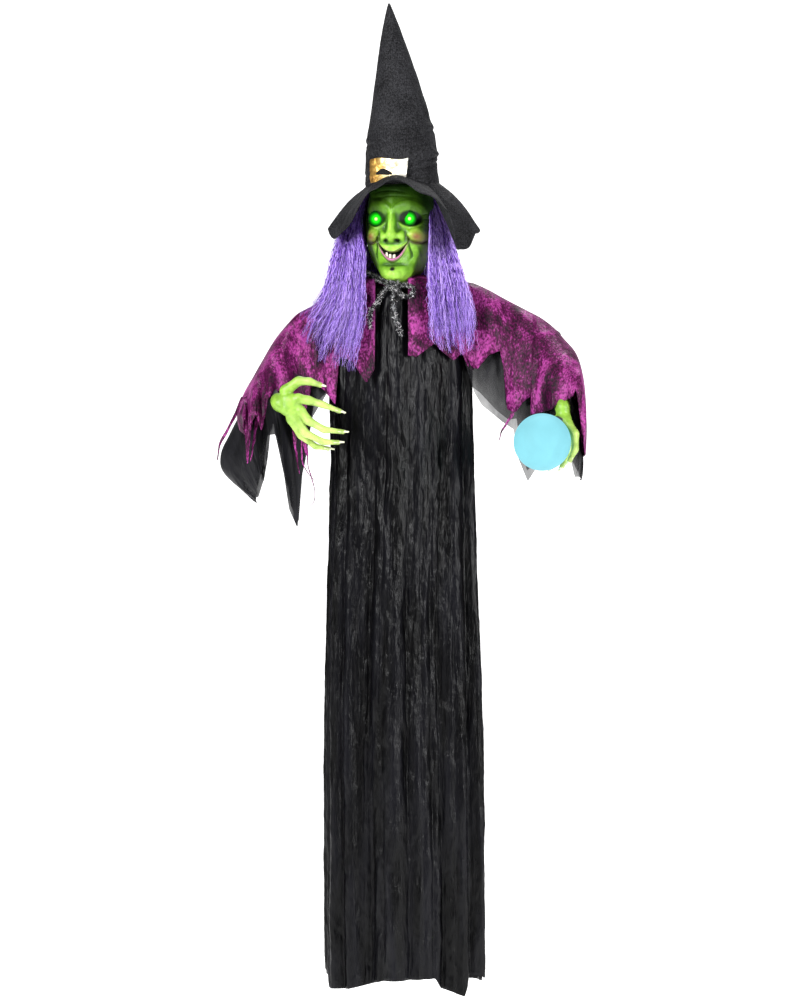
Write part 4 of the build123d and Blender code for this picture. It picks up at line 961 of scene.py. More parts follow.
@dataclass
class Sleeves:
    """Both sleeves: velvet outside, sheer layer inside, each split at the elbow."""

    body_y: float
    split: float = 0.55      # where the elbow is, as a share of the ridge
    layer_gap: float = 5     # from the velvet in to the sheer layer, in millimetres
    left_ridge: Points = (
        (98, 8), (131, 14), (161, 3), (194, -15), (236, -37), (266, -53), (290, -72), (307, -91), (326, -113),
        (339, -150), (344, -203), (347, -270), (343, -305),
    )
    left_hem: Points = (
        (0, 112, -96), (0.07, 135, -142), (0.09, 146, -148), (0.14, 168, -122), (0.18, 189, -114),
        (0.21, 196, -146),
        (0.25, 202, -222), (0.28, 215, -228), (0.31, 228, -209), (0.35, 248, -193), (0.37, 241, -232),
        (0.46, 275, -224), (0.51, 290, -212), (0.57, 316, -202), (0.62, 325, -188), (0.7, 334, -240),
        (0.8, 341, -304), (1, 342, -308),
    )
    left_sheer_ridge: Points = (
        (98, 0), (140, -4), (161, -12), (194, -30), (236, -50), (300, -98), (332, -150), (340, -230),
        (342, -300), (337, -346),
    )
    left_sheer_hem: Points = (
        (0, 112, -110), (0.07, 137, -190), (0.1, 153, -214), (0.16, 180, -232), (0.22, 200, -247),
        (0.27, 216, -258),
        (0.31, 223, -312), (0.35, 239, -354), (0.39, 254, -330), (0.46, 280, -318), (0.56, 311, -311),
        (0.7, 322, -330), (0.85, 335, -352), (1, 337, -352),
    )
    right_ridge: Points = (
        (-98, 6), (-128, 0), (-156, -28), (-187, -45), (-205, -64), (-224, -87), (-247, -125), (-264, -155),
        (-285, -192), (-296, -228), (-290, -262), (-276, -312),
    )
    right_hem: Points = (
        (0, -108, -110), (0.06, -114, -212), (0.1, -124, -198), (0.14, -133, -186), (0.21, -156, -172),
        (0.25, -170, -236), (0.27, -166, -314), (0.29, -180, -262), (0.33, -196, -200), (0.4, -224, -186),
        (0.46, -238, -206), (0.52, -249, -262), (0.56, -257, -234), (0.61, -263, -250), (0.66, -268, -318),
        (0.7, -273, -252), (0.8, -284, -258), (1, -278, -316),
    )
    right_sheer_ridge: Points = (
        (-98, 2), (-156, -34), (-224, -92), (-262, -156), (-292, -222), (-312, -262), (-328, -298),
        (-329, -316),
        (-286, -368), (-262, -389),
    )
    right_sheer_hem: Points = (
        (0, -108, -120), (0.05, -118, -196), (0.09, -131, -190), (0.16, -158, -236), (0.2, -170, -320),
        (0.23, -175, -345), (0.27, -182, -440), (0.31, -197, -405), (0.35, -207, -342), (0.39, -224, -268),
        (0.43, -238, -270), (0.5, -247, -328), (0.6, -253, -360), (0.8, -262, -388), (1, -262, -390),
    )

    def pair(
        self, side: str, layer: str, cloth: Garment, ridge: Points, hem: Points, front: Sequence[float],
        back: Sequence[float], inset: float, seed: int,
    ) -> None:
        """One layer of a sleeve, as an upper and a lower piece that meet at the elbow.

        Args:
            side: left or right.
            layer: velvet or sheer.
            cloth: The layer's cloth.
            ridge: The line along the arm, (x, z).
            hem: The front hem, (share, x, z). The back one is the same, a little higher and wavy.
            front: How far the front flap stands away.
            back: How far the back flap stands away.
            inset: How far the layer lies inside the arm's outer line, in millimetres.
            seed: Start of the random draws.
        """
        sign = 1 if side == "left" else -1
        shoulder, elbow, wrist = (np.array(place) / MM for place in arm_places(side))
        toward, fore = elbow - shoulder, wrist - elbow
        ends = (tuple(shoulder - toward * 0.12), tuple(shoulder + toward * 0.5))
        low = (tuple(elbow - fore * 0.15), tuple(elbow + fore * 0.5))
        back_hem = [(share, x, z + 16 + 10 * math.sin(0.09 * x * sign)) for share, x, z in hem]
        outer = cloth is Garment.VELVET_LAYER
        upper_nodes = (f"{side}_sleeve_upper",) if outer else ()
        lower_nodes = (f"{side}_velvet_cuff" if outer else f"{side}_chiffon_cuff",)
        common = dict(
            cloth=cloth, ridge=ridge, hem=hem, back_hem=back_hem, front=front, back=back, seed=seed,
            body_y=self.body_y, inset=inset * MM,
        )
        Drape(
            name=f"{side}_{layer}_upper", bodies=("torso", f"{side}_upper_arm"), blend=ends,
            part=(0.0, self.split), replaced=upper_nodes, **common,
        ).build()
        Drape(
            name=f"{side}_{layer}_lower", bodies=(f"{side}_upper_arm", f"{side}_forearm"), blend=low,
            part=(self.split, 1.0), replaced=lower_nodes, **common,
        ).build()

    def build(self) -> None:
        """Makes all four layers."""
        left_back = (34, 42, 46, 46, 42, 36, 30, 24, 14)
        right_back = (34, 42, 46, 46, 44, 40, 34, 26, 16)
        self.pair(
            "left", "velvet", Garment.VELVET_LAYER, self.left_ridge, self.left_hem,
            (38, 48, 60, 92, 130, 142, 138, 104, 40), left_back, 0, 31,
        )
        self.pair(
            "left", "sheer", Garment.SHEER_SINGLE, self.left_sheer_ridge, self.left_sheer_hem,
            (38, 48, 54, 66, 88, 104, 96, 60, 26), left_back, self.layer_gap, 47,
        )
        self.pair(
            "right", "velvet", Garment.VELVET_LAYER, self.right_ridge, self.right_hem,
            (38, 50, 66, 104, 138, 150, 118, 60, 26), right_back, 0, 53,
        )
        self.pair(
            "right", "sheer", Garment.SHEER, self.right_sheer_ridge, self.right_sheer_hem,
            (38, 50, 62, 92, 118, 112, 84, 46, 20), right_back, self.layer_gap, 61,
        )


@dataclass
class Cape:
    """The velvet capelet over both shoulders, open in front, with a torn hem."""

    body_y: float
    columns: int = 280
    rows: int = 64
    open_left: float = -42.0      # the two front edges, across in millimetres
    open_right: float = 18.0
    # down the cape: height, half width, half depth
    profile: Points = (
        (27, 50, 46), (20, 66, 56), (17, 108, 63), (8, 134, 67), (-14, 143, 70), (-175, 148, 76),
    )
    # the hem's height by compass angle from the front, towards her left hand
    hem: Points = (
        (0, -118), (8, -124), (13, -126), (27, -101), (34, -116), (44, -132), (54, -118), (63, -148),
        (68, -150),
        (75, -84), (84, -34), (98, -30), (108, -52), (120, -150), (134, -112), (150, -168), (166, -120),
        (182, -172),
        (198, -116), (214, -166), (230, -108), (244, -146), (254, -48), (264, -30), (278, -34), (288, -80),
        (296, -146), (306, -116), (318, -128), (326, -134), (337, -174), (343, -150), (347, -112),
        (360, -118),
    )

    def build(self) -> None:
        """Makes the cape: ovals from the collar to the hem's own height, with folds that deepen as they fall.

        At share v the height runs from the collar to the hem; across, the angle runs from one front edge to
        the other, and each edge stays at its own distance from the middle, so its angle narrows as the oval
        widens.
        """
        u, v = grid(self.columns, self.rows)
        table = np.array(self.profile)[::-1]
        heights = np.array(self.hem)
        top = table[-1, 0]
        flat = 2 * math.pi * u
        for _ in range(3):
            low = np.interp(np.degrees(flat) % 360, heights[:, 0], heights[:, 1])
            z = top + (low - top) * v ** (1 + 0.55 * (1 - v))
            a = np.interp(z, table[:, 0], table[:, 1])
            start, end = np.arcsin(self.open_right / a), 2 * math.pi + np.arcsin(self.open_left / a)
            flat = start + (end - start) * u
        b = np.interp(z, table[:, 0], table[:, 2])
        fall = step(top - z, 20, 120)
        push = ripple(u * 0.9, v * 0.08, 3, 7, 7, 20, 0.3) * 17 * fall
        push = push + ripple(u * 0.9, v * 0.2, 4, 9, 18, 60) * 4.5
        lapel = np.exp(-((u / 0.02) ** 2)) + np.exp(-(((1 - u) / 0.02) ** 2))
        push = push + 5 * lapel * fall
        back = self.body_y / MM - np.cos(flat) * (b + push)
        points = np.stack([np.sin(flat) * (a + push), back, z], -1) * MM
        piece = surface("cape_drape", points)
        tailor(piece, Garment.VELVET_LAYER)
        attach(piece, "torso")
        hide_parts("cape")
        LOG.info("cape: %d points", len(piece.data.vertices))


@dataclass
class Tatter:
    """A torn end that hangs from a hem: a narrow ribbon, or a pulled thread, along a line of places."""

    name: str
    body: str
    line: Points
    width: float
    cloth: Finish
    slot: str
    seed: int = 1

    def build(self) -> None:
        """Makes the ribbon: half its width each side of the line, twisted slowly and narrowed to its end."""
        u, v = grid(60, 5)
        rng = np.random.default_rng(self.seed)
        middle = through(self.line, u)
        twist = rng.uniform(-0.5, 0.5) + 0.7 * np.sin(u * rng.uniform(2, 4) + rng.uniform(0, 6))
        reach = (v - 0.5) * self.width * MM * (1 - 0.85 * u**1.5) * (1 + 0.18 * np.sin(u * 17 + self.seed))
        curl = 0.0005 * np.sin(u * 19 + self.seed)
        away = np.stack([np.cos(twist) * reach + curl, np.sin(twist) * reach, 0 * reach], -1)
        piece = surface(self.name, middle + away)
        thicken(piece, 0.0008)
        dress(piece, self.cloth)
        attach(piece, self.body)


RIGHT_ENDS: tuple[tuple[Points, float], ...] = (
    (((-284, -150, -200), (-300, -152, -240), (-326, -150, -292), (-330, -149, -316)), 10),
    (((-268, -176, -230), (-270, -178, -270), (-273, -176, -322)), 9),
    (((-256, -172, -238), (-262, -174, -280), (-268, -172, -318)), 6),
    (
        ((-166, -150, -290), (-163, -150, -330), (-152, -149, -372), (-156, -150, -396), (-164, -150, -402)),
        2.4,
    ),
    (((-176, -152, -270), (-170, -152, -330), (-153, -150, -352)), 3.0),
    (((-192, -150, -240), (-186, -151, -300), (-180, -150, -340)), 7),
)
LEFT_ENDS: tuple[tuple[Points, float], ...] = (
    (((214, -130, -214), (206, -132, -236), (190, -131, -262), (184, -130, -280)), 7),
    (((322, -112, -190), (332, -112, -240), (339, -110, -300)), 9),
    (((300, -140, -196), (303, -142, -222), (300, -141, -240)), 5),
)


def build_tatters() -> None:
    """The strips and threads that hang from the two sleeves, each a line and its width in millimetres."""
    seed = 3
    for side, ends in (("right", RIGHT_ENDS), ("left", LEFT_ENDS)):
        for k, (line, width) in enumerate(ends):
            Tatter(f"{side}_tatter_{k + 1}", f"{side}_forearm", line, width, VELVET, "velvet", seed).build()
            seed += 1


# ---------------------------------------------------------------- hair
@dataclass
class Hank:
    """A fall of crimped strands between an inner and an outer edge, each (x, y, z) in millimetres."""

    name: str
    inner: Points
    outer: Points
    node: str
    strands: int = 300
    steps: int = 44
    depth: float = 26.0
    radius: float = 1.05
    sag: float = 0.0
    seed: int = 1
    tufts: int = 15      # locks that the ends gather into

    def strands_of(
        self, count: int, seed: int, spread: float, thickness: float
    ) -> tuple[np.ndarray, np.ndarray]:
        """Paths and radii: each strand is mixed from the two edges by its share, crimped and drawn into locks.

        Args:
            count: Number of strands.
            seed: Start of the random draw.
            spread: How far past the edges a share may fall, and how wildly a strand wanders.
            thickness: Factor on the radius.

        Returns:
            Places by strand and step, and radii.
        """
        rng = np.random.default_rng(seed)
        n, k = count, self.steps
        share = rng.random((n, 1)) * (1 + 2 * spread) - spread
        tuft = np.floor(share * self.tufts + rng.normal(0, 0.3, (n, 1)))
        lock = (tuft + 0.5) / self.tufts
        reach = 1 - 0.14 * (0.5 + 0.5 * np.sin(tuft * 2.4 + self.seed)) - 0.3 * rng.random((n, 1)) ** 2.0
        t = np.linspace(0, 1, k)[None, :] * reach
        drawn = share + (lock - share) * 0.7 * t**3
        swing = np.sin(t * rng.uniform(3, 9, (n, 1)) + rng.uniform(0, 6, (n, 1)))
        wander = drawn + 0.05 * (1 + 4 * spread) * swing
        path = through(self.inner, t) * (1 - wander[..., None]) + through(self.outer, t) * wander[..., None]
        path[..., 2] -= self.sag * MM * 4 * np.clip(wander * (1 - wander), 0, 1) * t**2
        crimp = rng.uniform(0.5, 1.6, (n, 1)) * MM * (1.7 + 3 * spread)
        turns = rng.uniform(11, 19, (n, 1)) * 2 * math.pi
        phase = rng.uniform(0, 6.3, (n, 1)) + 5 * share
        grow = 0.25 + 0.75 * t
        path[..., 0] += np.sin(turns * t + phase) * crimp * grow + rng.normal(0, 2.6, (n, 1)) * MM * t
        depth = rng.uniform(-0.5, 0.5, (n, 1)) * self.depth * MM
        path[..., 1] += np.cos(turns * t * 0.9 + phase) * crimp * grow + depth * (0.5 + 0.5 * t)
        thin = np.interp(np.linspace(0, 1, k), (0, 0.7, 1), (1, 0.85, 0.2))
        return path, self.radius * thickness * MM * rng.uniform(0.5, 1.15, (n, 1)) * thin[None, :]

    def build(self) -> None:
        """Makes the hank in two layers, the body of it and the fine loose hairs round it."""
        layers = (("", self.strands, 0.0, 1.0), ("_loose", self.strands // 3, 0.06, 0.5))
        for suffix, count, spread, thickness in layers:
            path, radius = self.strands_of(count, self.seed + (50 if suffix else 0), spread, thickness)
            piece = threads(self.name + suffix, path, radius, sides=3, flat=0.5)
            dress(piece, FIBRE)
            if not suffix:
                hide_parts(self.node)
            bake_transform(piece)
            LOG.info("%s%s: %d strands", self.name, suffix, count)


def build_hair() -> None:
    """The two front hanks and the two back ones."""
    Hank(
        "hair_over_right_shoulder",
        inner=(
            (-60, -60, 170), (-69, -94, 112), (-64, -116, 61), (-66, -124, 15), (-66, -136, -41),
            (-84, -138, -152),
        ),
        outer=(
            (-62, -20, 190), (-104, -48, 112), (-118, -76, 62), (-136, -104, -5), (-174, -112, -62),
            (-182, -118, -84),
        ),
        node="hair_right_front", seed=11, strands=640, sag=26,
    ).build()
    Hank(
        "hair_over_left_shoulder",
        inner=(
            (58, -60, 170), (60, -94, 118), (58, -118, 34), (60, -132, -41), (62, -138, -90),
            (68, -138, -112),
        ),
        outer=(
            (60, -20, 190), (96, -40, 112), (104, -64, 76), (118, -94, 23), (136, -112, -40),
            (142, -126, -120),
        ),
        node="hair_left_front", seed=12, strands=640, sag=8,
    ).build()
    for side, sign, seed in (("right", -1, 13), ("left", 1, 14)):
        inner = ((0, 30, 190), (-2, 36, 110), (-2, 34, 60), (6, 40, 10), (12, 42, -112))
        outer = ((58, -40, 190), (80, -46, 110), (92, -34, 50), (100, 10, 0), (98, 36, -118))
        Hank(
            f"hair_down_{side}_back",
            inner=[(sign * x, y, z) for x, y, z in inner],
            outer=[(sign * x, y, z) for x, y, z in outer],
            node=f"hair_{side}_back", seed=seed, depth=18, radius=1.5,
        ).build()


# ---------------------------------------------------------------- face
@dataclass
class Face:
    """The hag's moulded face, made in its own axes and turned with the head. Its sizes are in millimetres."""

    centre: np.ndarray
    turn: float
    pivot: np.ndarray
    columns: int = 260
    rows: int = 260
    # across and back by height
    widths: Points = (
        (9, 2), (11, 14), (16, 25), (24, 33), (34, 39), (48, 45), (62, 51), (80, 58), (95, 61), (115, 61),
        (150, 60), (185, 56), (212, 46), (222, 20),
    )
    depths: Points = (
        (9, 50), (11, 62), (16, 69), (24, 72), (34, 70), (48, 66), (62, 66), (80, 69), (110, 74), (150, 79),
        (185, 72), (212, 54), (222, 24),
    )
    eye: tuple[float, float] = (31.0, 127.0)
    skew: float = 7.0        # how far the sides of the face sit to her left of its features
    corner: float = 26.5     # mouth corner from the middle

    def mouth(self, x: np.ndarray) -> tuple[np.ndarray, np.ndarray]:
        """Heights of the upper and the lower lip at a place across: two parabolas, closest at the corners."""
        bow = (x / self.corner) ** 2
        return 64.5 + 17.5 * bow, 55 + 27 * bow

    def opening(self, x: np.ndarray, z: np.ndarray, soft: float) -> np.ndarray:
        """How far inside the open mouth a place is: 1 within, 0 outside, and a soft step at each lip.

        Args:
            x: Places across.
            z: Heights.
            soft: Half the width of the edge.

        Returns:
            Shares from 0 to 1.
        """
        upper, lower = self.mouth(x)
        between = step(z, lower - soft, lower + soft) * step(-z, -upper - soft, -upper + soft)
        return between * (np.abs(x) < self.corner + 2)

    def relief(self, x: np.ndarray, z: np.ndarray) -> np.ndarray:
        """How far the face stands forward of its plain form, in millimetres.

        A sum of round rises and hollows for nose, brow, cheeks, lips and chin, with narrow grooves for lines.

        Args:
            x: Places across.
            z: Heights.

        Returns:
            Distances forward.
        """
        ax = np.abs(x)
        ex, ez = self.eye
        rise = np.interp(z, (76, 81, 86, 92, 99, 108, 122, 136, 150), (0, 5, 18, 27, 29, 24, 15, 8, 2))
        wide = np.interp(z, (76, 86, 96, 110, 136, 150), (9, 10, 9.5, 7.0, 6.0, 9))
        out = rise * np.exp(-((ax / wide) ** 2.4))
        out += 7 * hump(x, z, (0, 94), (9, 8)) + 13 * hump(ax, z, (15.5, 94), (6.6, 8.2))
        out -= 9 * hump(ax, z, (10, 86), (4.2, 2.6)) + 4 * hump(ax, z, (24, 96), (2.4, 9))
        out -= 15 * hump(ax, z, (ex, ez), (17, 13))
        arch = np.hypot((ax - 30) / 1.12, z - 134) - 23
        over = step(z, 134, 146)
        out += 2.6 * np.exp(-((arch / 7) ** 2)) * over - 0.8 * np.exp(-(((arch - 9) / 3) ** 2)) * over
        out += 1.5 * hump(ax, z, (11, 146), (10, 12))
        bag = np.hypot((ax - ex) / 1.25, z - ez - 2) - 17
        out += 3 * np.exp(-((bag / 2.5) ** 2)) * step(-z, -124, -116)
        out += 18 * hump(ax, z, (42, 97), (13, 12))
        under = np.hypot(ax - 42, (z - 97) * 1.05) - 15
        out -= 4.5 * np.exp(-((under / 2.2) ** 2)) * step(-z, -98, -88)
        out -= 15 * self.opening(x, z, 1.5)
        upper, lower = self.mouth(x)
        within = np.exp(-((ax / 27) ** 8))
        upper_lip = 3 * np.exp(-(((z - upper - 2.6) / 2.2) ** 2))
        out += within * (upper_lip + 6.5 * np.exp(-(((z - lower + 3.6) / 3.2) ** 2)))
        out += 9 * hump(x, z, (0, 74), (26, 8)) * (1 - self.opening(x, z, 1.0))
        line = ax - (24 + 8 * np.sin(np.clip((98 - z) / 52, 0, 1) * math.pi) + 3 * np.sin(z / 7))
        out -= 4.5 * np.exp(-((line / 2.0) ** 2)) * step(z, 48, 62) * step(-z, -98, -88)
        outer = ax - (40 + 5 * np.sin(np.clip((86 - z) / 48, 0, 1) * math.pi))
        out -= 2.2 * np.exp(-((outer / 1.8) ** 2)) * step(z, 40, 56) * step(-z, -84, -72)
        out += 15 * hump(x, z, (0, 25), (21, 13)) - 5 * hump(x, z, (0, 43), (22, 3.6))
        out += 4.6 * hump(x, z, (2, 34), (4.6, 4.4))
        for level, bend, offset in ((168, 6, 4), (178, 8, -6)):
            crease = z - level + bend * ((x - offset) / 44) ** 2
            out -= 1.0 * np.exp(-((crease / 2.0) ** 2)) * np.exp(-(((x - offset) / 30) ** 6))
        for start, slope in ((120, -0.5), (127, 0.0), (134, 0.5)):
            groove = 1.4 * np.exp(-(((z - start - slope * (ax - 48)) / 1.3) ** 2))
            out -= groove * step(ax, 48, 51) * step(-ax, -60, -56)
        return out + 1.3 * ripple(x / 40, z / 40, 5, 9, 1.5, 7) * step(ax, 12, 30) * step(-z, -150, -110)

    def colours(self, x: np.ndarray, z: np.ndarray) -> np.ndarray:
        """Lime paint, with painted highlights on what stands out, painted bottle-green shade in hollows, features
        over it.

        What stands out is the relief less its own mean over a patch about two centimetres wide.

        Args:
            x: Places across.
            z: Heights.

        Returns:
            Red, green and blue on a last axis.
        """
        ax = np.abs(x)
        ex, ez = self.eye
        # pale is the colour of the painted highlights and deep the colour of the painted shade
        lime, pale = np.array((0.17, 0.42, 0.018)), np.array((0.42, 0.76, 0.10))
        deep = np.array((0.018, 0.075, 0.005))
        black = np.array((0.002, 0.003, 0.002))

        def over(base: np.ndarray, tone: Sequence[float], share: np.ndarray) -> np.ndarray:
            """One tone laid over the paint so far, by a share."""
            share = np.clip(share, 0, 1)[..., None]
            return base * (1 - share) + np.asarray(tone) * share

        relief = self.relief(x, z)
        mean = relief
        for axis in (0, 1):
            mean = sum(np.roll(mean, k, axis) for k in (-15, -9, -4, 0, 4, 9, 15)) / 7
        # painted light: what stands out is painted as highlight, what lies back as shade
        stands = (relief - mean) / 3.2
        # painted shade: darker on the forehead, in the hat brim's shadow, and at both sides of the face
        shade = 0.9 * step(z, 128, 186) + 0.8 * step(ax, 40, 60)
        out = over(np.broadcast_to(lime, (*x.shape, 3)), deep, shade)
        # painted highlight on what stands out, below the brow
        out = over(out, pale, np.clip(stands, 0, 1) * 0.75 * step(-z, -148, -112))
        # painted highlights on the chin and down the nose
        out = over(out, pale, 0.85 * hump(x, z, (0, 25), (20, 12)) + 0.5 * hump(x, z, (-2, 104), (6, 14)))
        # painted shade in what lies back, less on the forehead
        out = over(out, deep, np.clip(-stands * 1.15, 0, 1) * 0.85 * (1 - 0.7 * step(z, 134, 146)))
        out = over(out, (0.25, 0.085, 0.03), 0.95 * hump(ax, z, (43, 94), (11.5, 10.0)))
        # painted shade in the crease under each cheek
        out = over(out, (0.04, 0.018, 0.005), 0.85 * hump(ax, z, (43, 84), (9.5, 3.0)))
        arch = np.hypot((ax - 30) / 1.12, z - 134) - 27
        out = over(out, black, 0.35 * np.exp(-((arch / 1.1) ** 2)) * step(z, 140, 152))
        reach = np.hypot((ax - ex) / 1.25, z - ez)
        out = over(out, black, 1.1 * step(-reach, -17.5, -12))
        upper, lower = self.mouth(x)
        lip = np.exp(-((ax / 25.5) ** 8))
        out = over(out, (0.50, 0.14, 0.36), 1.2 * np.exp(-(((z - lower + 3.4) / 2.9) ** 2)) * lip)
        # painted shade: a dark line in the crease under the lower lip
        out = over(out, black, 0.8 * np.exp(-(((z - lower + 7.6) / 1.4) ** 2)) * lip)
        out = over(out, (0.13, 0.05, 0.06), 0.8 * np.exp(-(((z - upper - 1.6) / 1.5) ** 2)) * lip)
        out = over(out, black, self.opening(x, z, 1.0))
        out = over(out, black, 1.6 * hump(ax, z, (10, 86.5), (4.0, 2.2)))
        return over(out, black, 2.4 * hump(x, z, (2, 34), (3.4, 3.4)))

    def build(self) -> None:
        """Makes the face: ovals by height with the relief pushed forward, then turned with the head.

        At angle a from the front: x = width * sin(a) + skew * (1 - cos(a)), y = -depth * cos(a) - relief.
        """
        a, t = grid(self.columns, self.rows)
        angle = (a - 0.5) * math.radians(196)
        angle = angle * (0.72 + 0.28 * (np.abs(angle) / math.radians(98)) ** 1.5)
        z = 9 + 213 * t
        wide, deep = (np.interp(z, *np.array(p, float).T) for p in (self.widths, self.depths))
        x = wide * np.sin(angle)
        forward = self.relief(x, z) * np.clip(np.cos(angle), 0, 1) ** 0.45
        y = -deep * np.cos(angle) - forward * step(z, 9, 18)
        shifted = x + self.skew * (1 - np.cos(angle))
        local = np.stack([shifted * MM + self.centre[0], y * MM + self.centre[1], z * MM], -1)
        piece = surface("face_mask", turned(local, self.pivot, self.turn))
        dress(piece, SKIN)
        # the stored paint holds the face's painted highlights and painted shade
        paint(piece, "paint", self.colours(x, z))
        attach(piece, "head")
        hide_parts("face_shell")
        self.add_eyes()
        self.add_teeth()
        LOG.info("face: %d points", len(piece.data.vertices))

    def add_eyes(self) -> None:
        """In each socket a shallow cup, depth * (1 - r^2), with the lamp's round nose in its middle."""
        ex, ez = self.eye
        for side, sign in (("right", -1), ("left", 1)):
            a, t = grid(65, 40)
            round_ = a[:-1] * 2 * math.pi
            reach = t[:-1]
            lamp = 0.0042 * np.sqrt(np.clip(1 - (reach / 0.24) ** 2, 0, 1))
            back = 0.007 * (1 - reach**2) - lamp
            radius = 0.0145 * reach
            at = np.array((sign * ex * MM, self.centre[1] - 0.0625, ez * MM))
            local = np.stack([0.98 * radius * np.cos(round_), back - 0.002, radius * np.sin(round_)], -1) + at
            placed = turned(local, self.pivot, self.turn)
            piece = surface(f"{side}_eye_light", placed, closed_u=True, flip=True)
            # the cup round the lamp glows: painted lamp light, as emission
            dress(piece, EyeLight("eye_light"))
            paint(piece, "reach", reach)
            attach(piece, "head")
            if sign < 0:
                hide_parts("eye_lamps", "eye_holders")

    def add_teeth(self) -> None:
        """Three uneven lower teeth: rounded blocks, on a grid of round and height, narrow at their tops."""
        for k, (x, width, tall) in enumerate(((-10.5, 4.6, 8.5), (-4.2, 5.0, 9.5), (3.4, 5.6, 8.5))):
            a, t = grid(24, 16)
            taper = np.sqrt(np.clip(1 - (t * 0.999) ** 5, 0, 1))
            turn = a * 2 * math.pi
            px = width / 2 * taper * np.sign(np.cos(turn)) * np.abs(np.cos(turn)) ** 0.6
            py = 1.8 * taper * np.sign(np.sin(turn)) * np.abs(np.sin(turn)) ** 0.6
            base = float(self.mouth(np.array(x))[1]) - 2
            local = np.stack([x + px, self.centre[1] / MM - 64 + py, base + tall * t], -1) * MM
            piece = surface(f"tooth_{k + 1}", turned(local, self.pivot, self.turn))
            dress(piece, NODE_FINISHES["tooth"])
            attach(piece, "head")
            if k == 0:
                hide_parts("teeth")


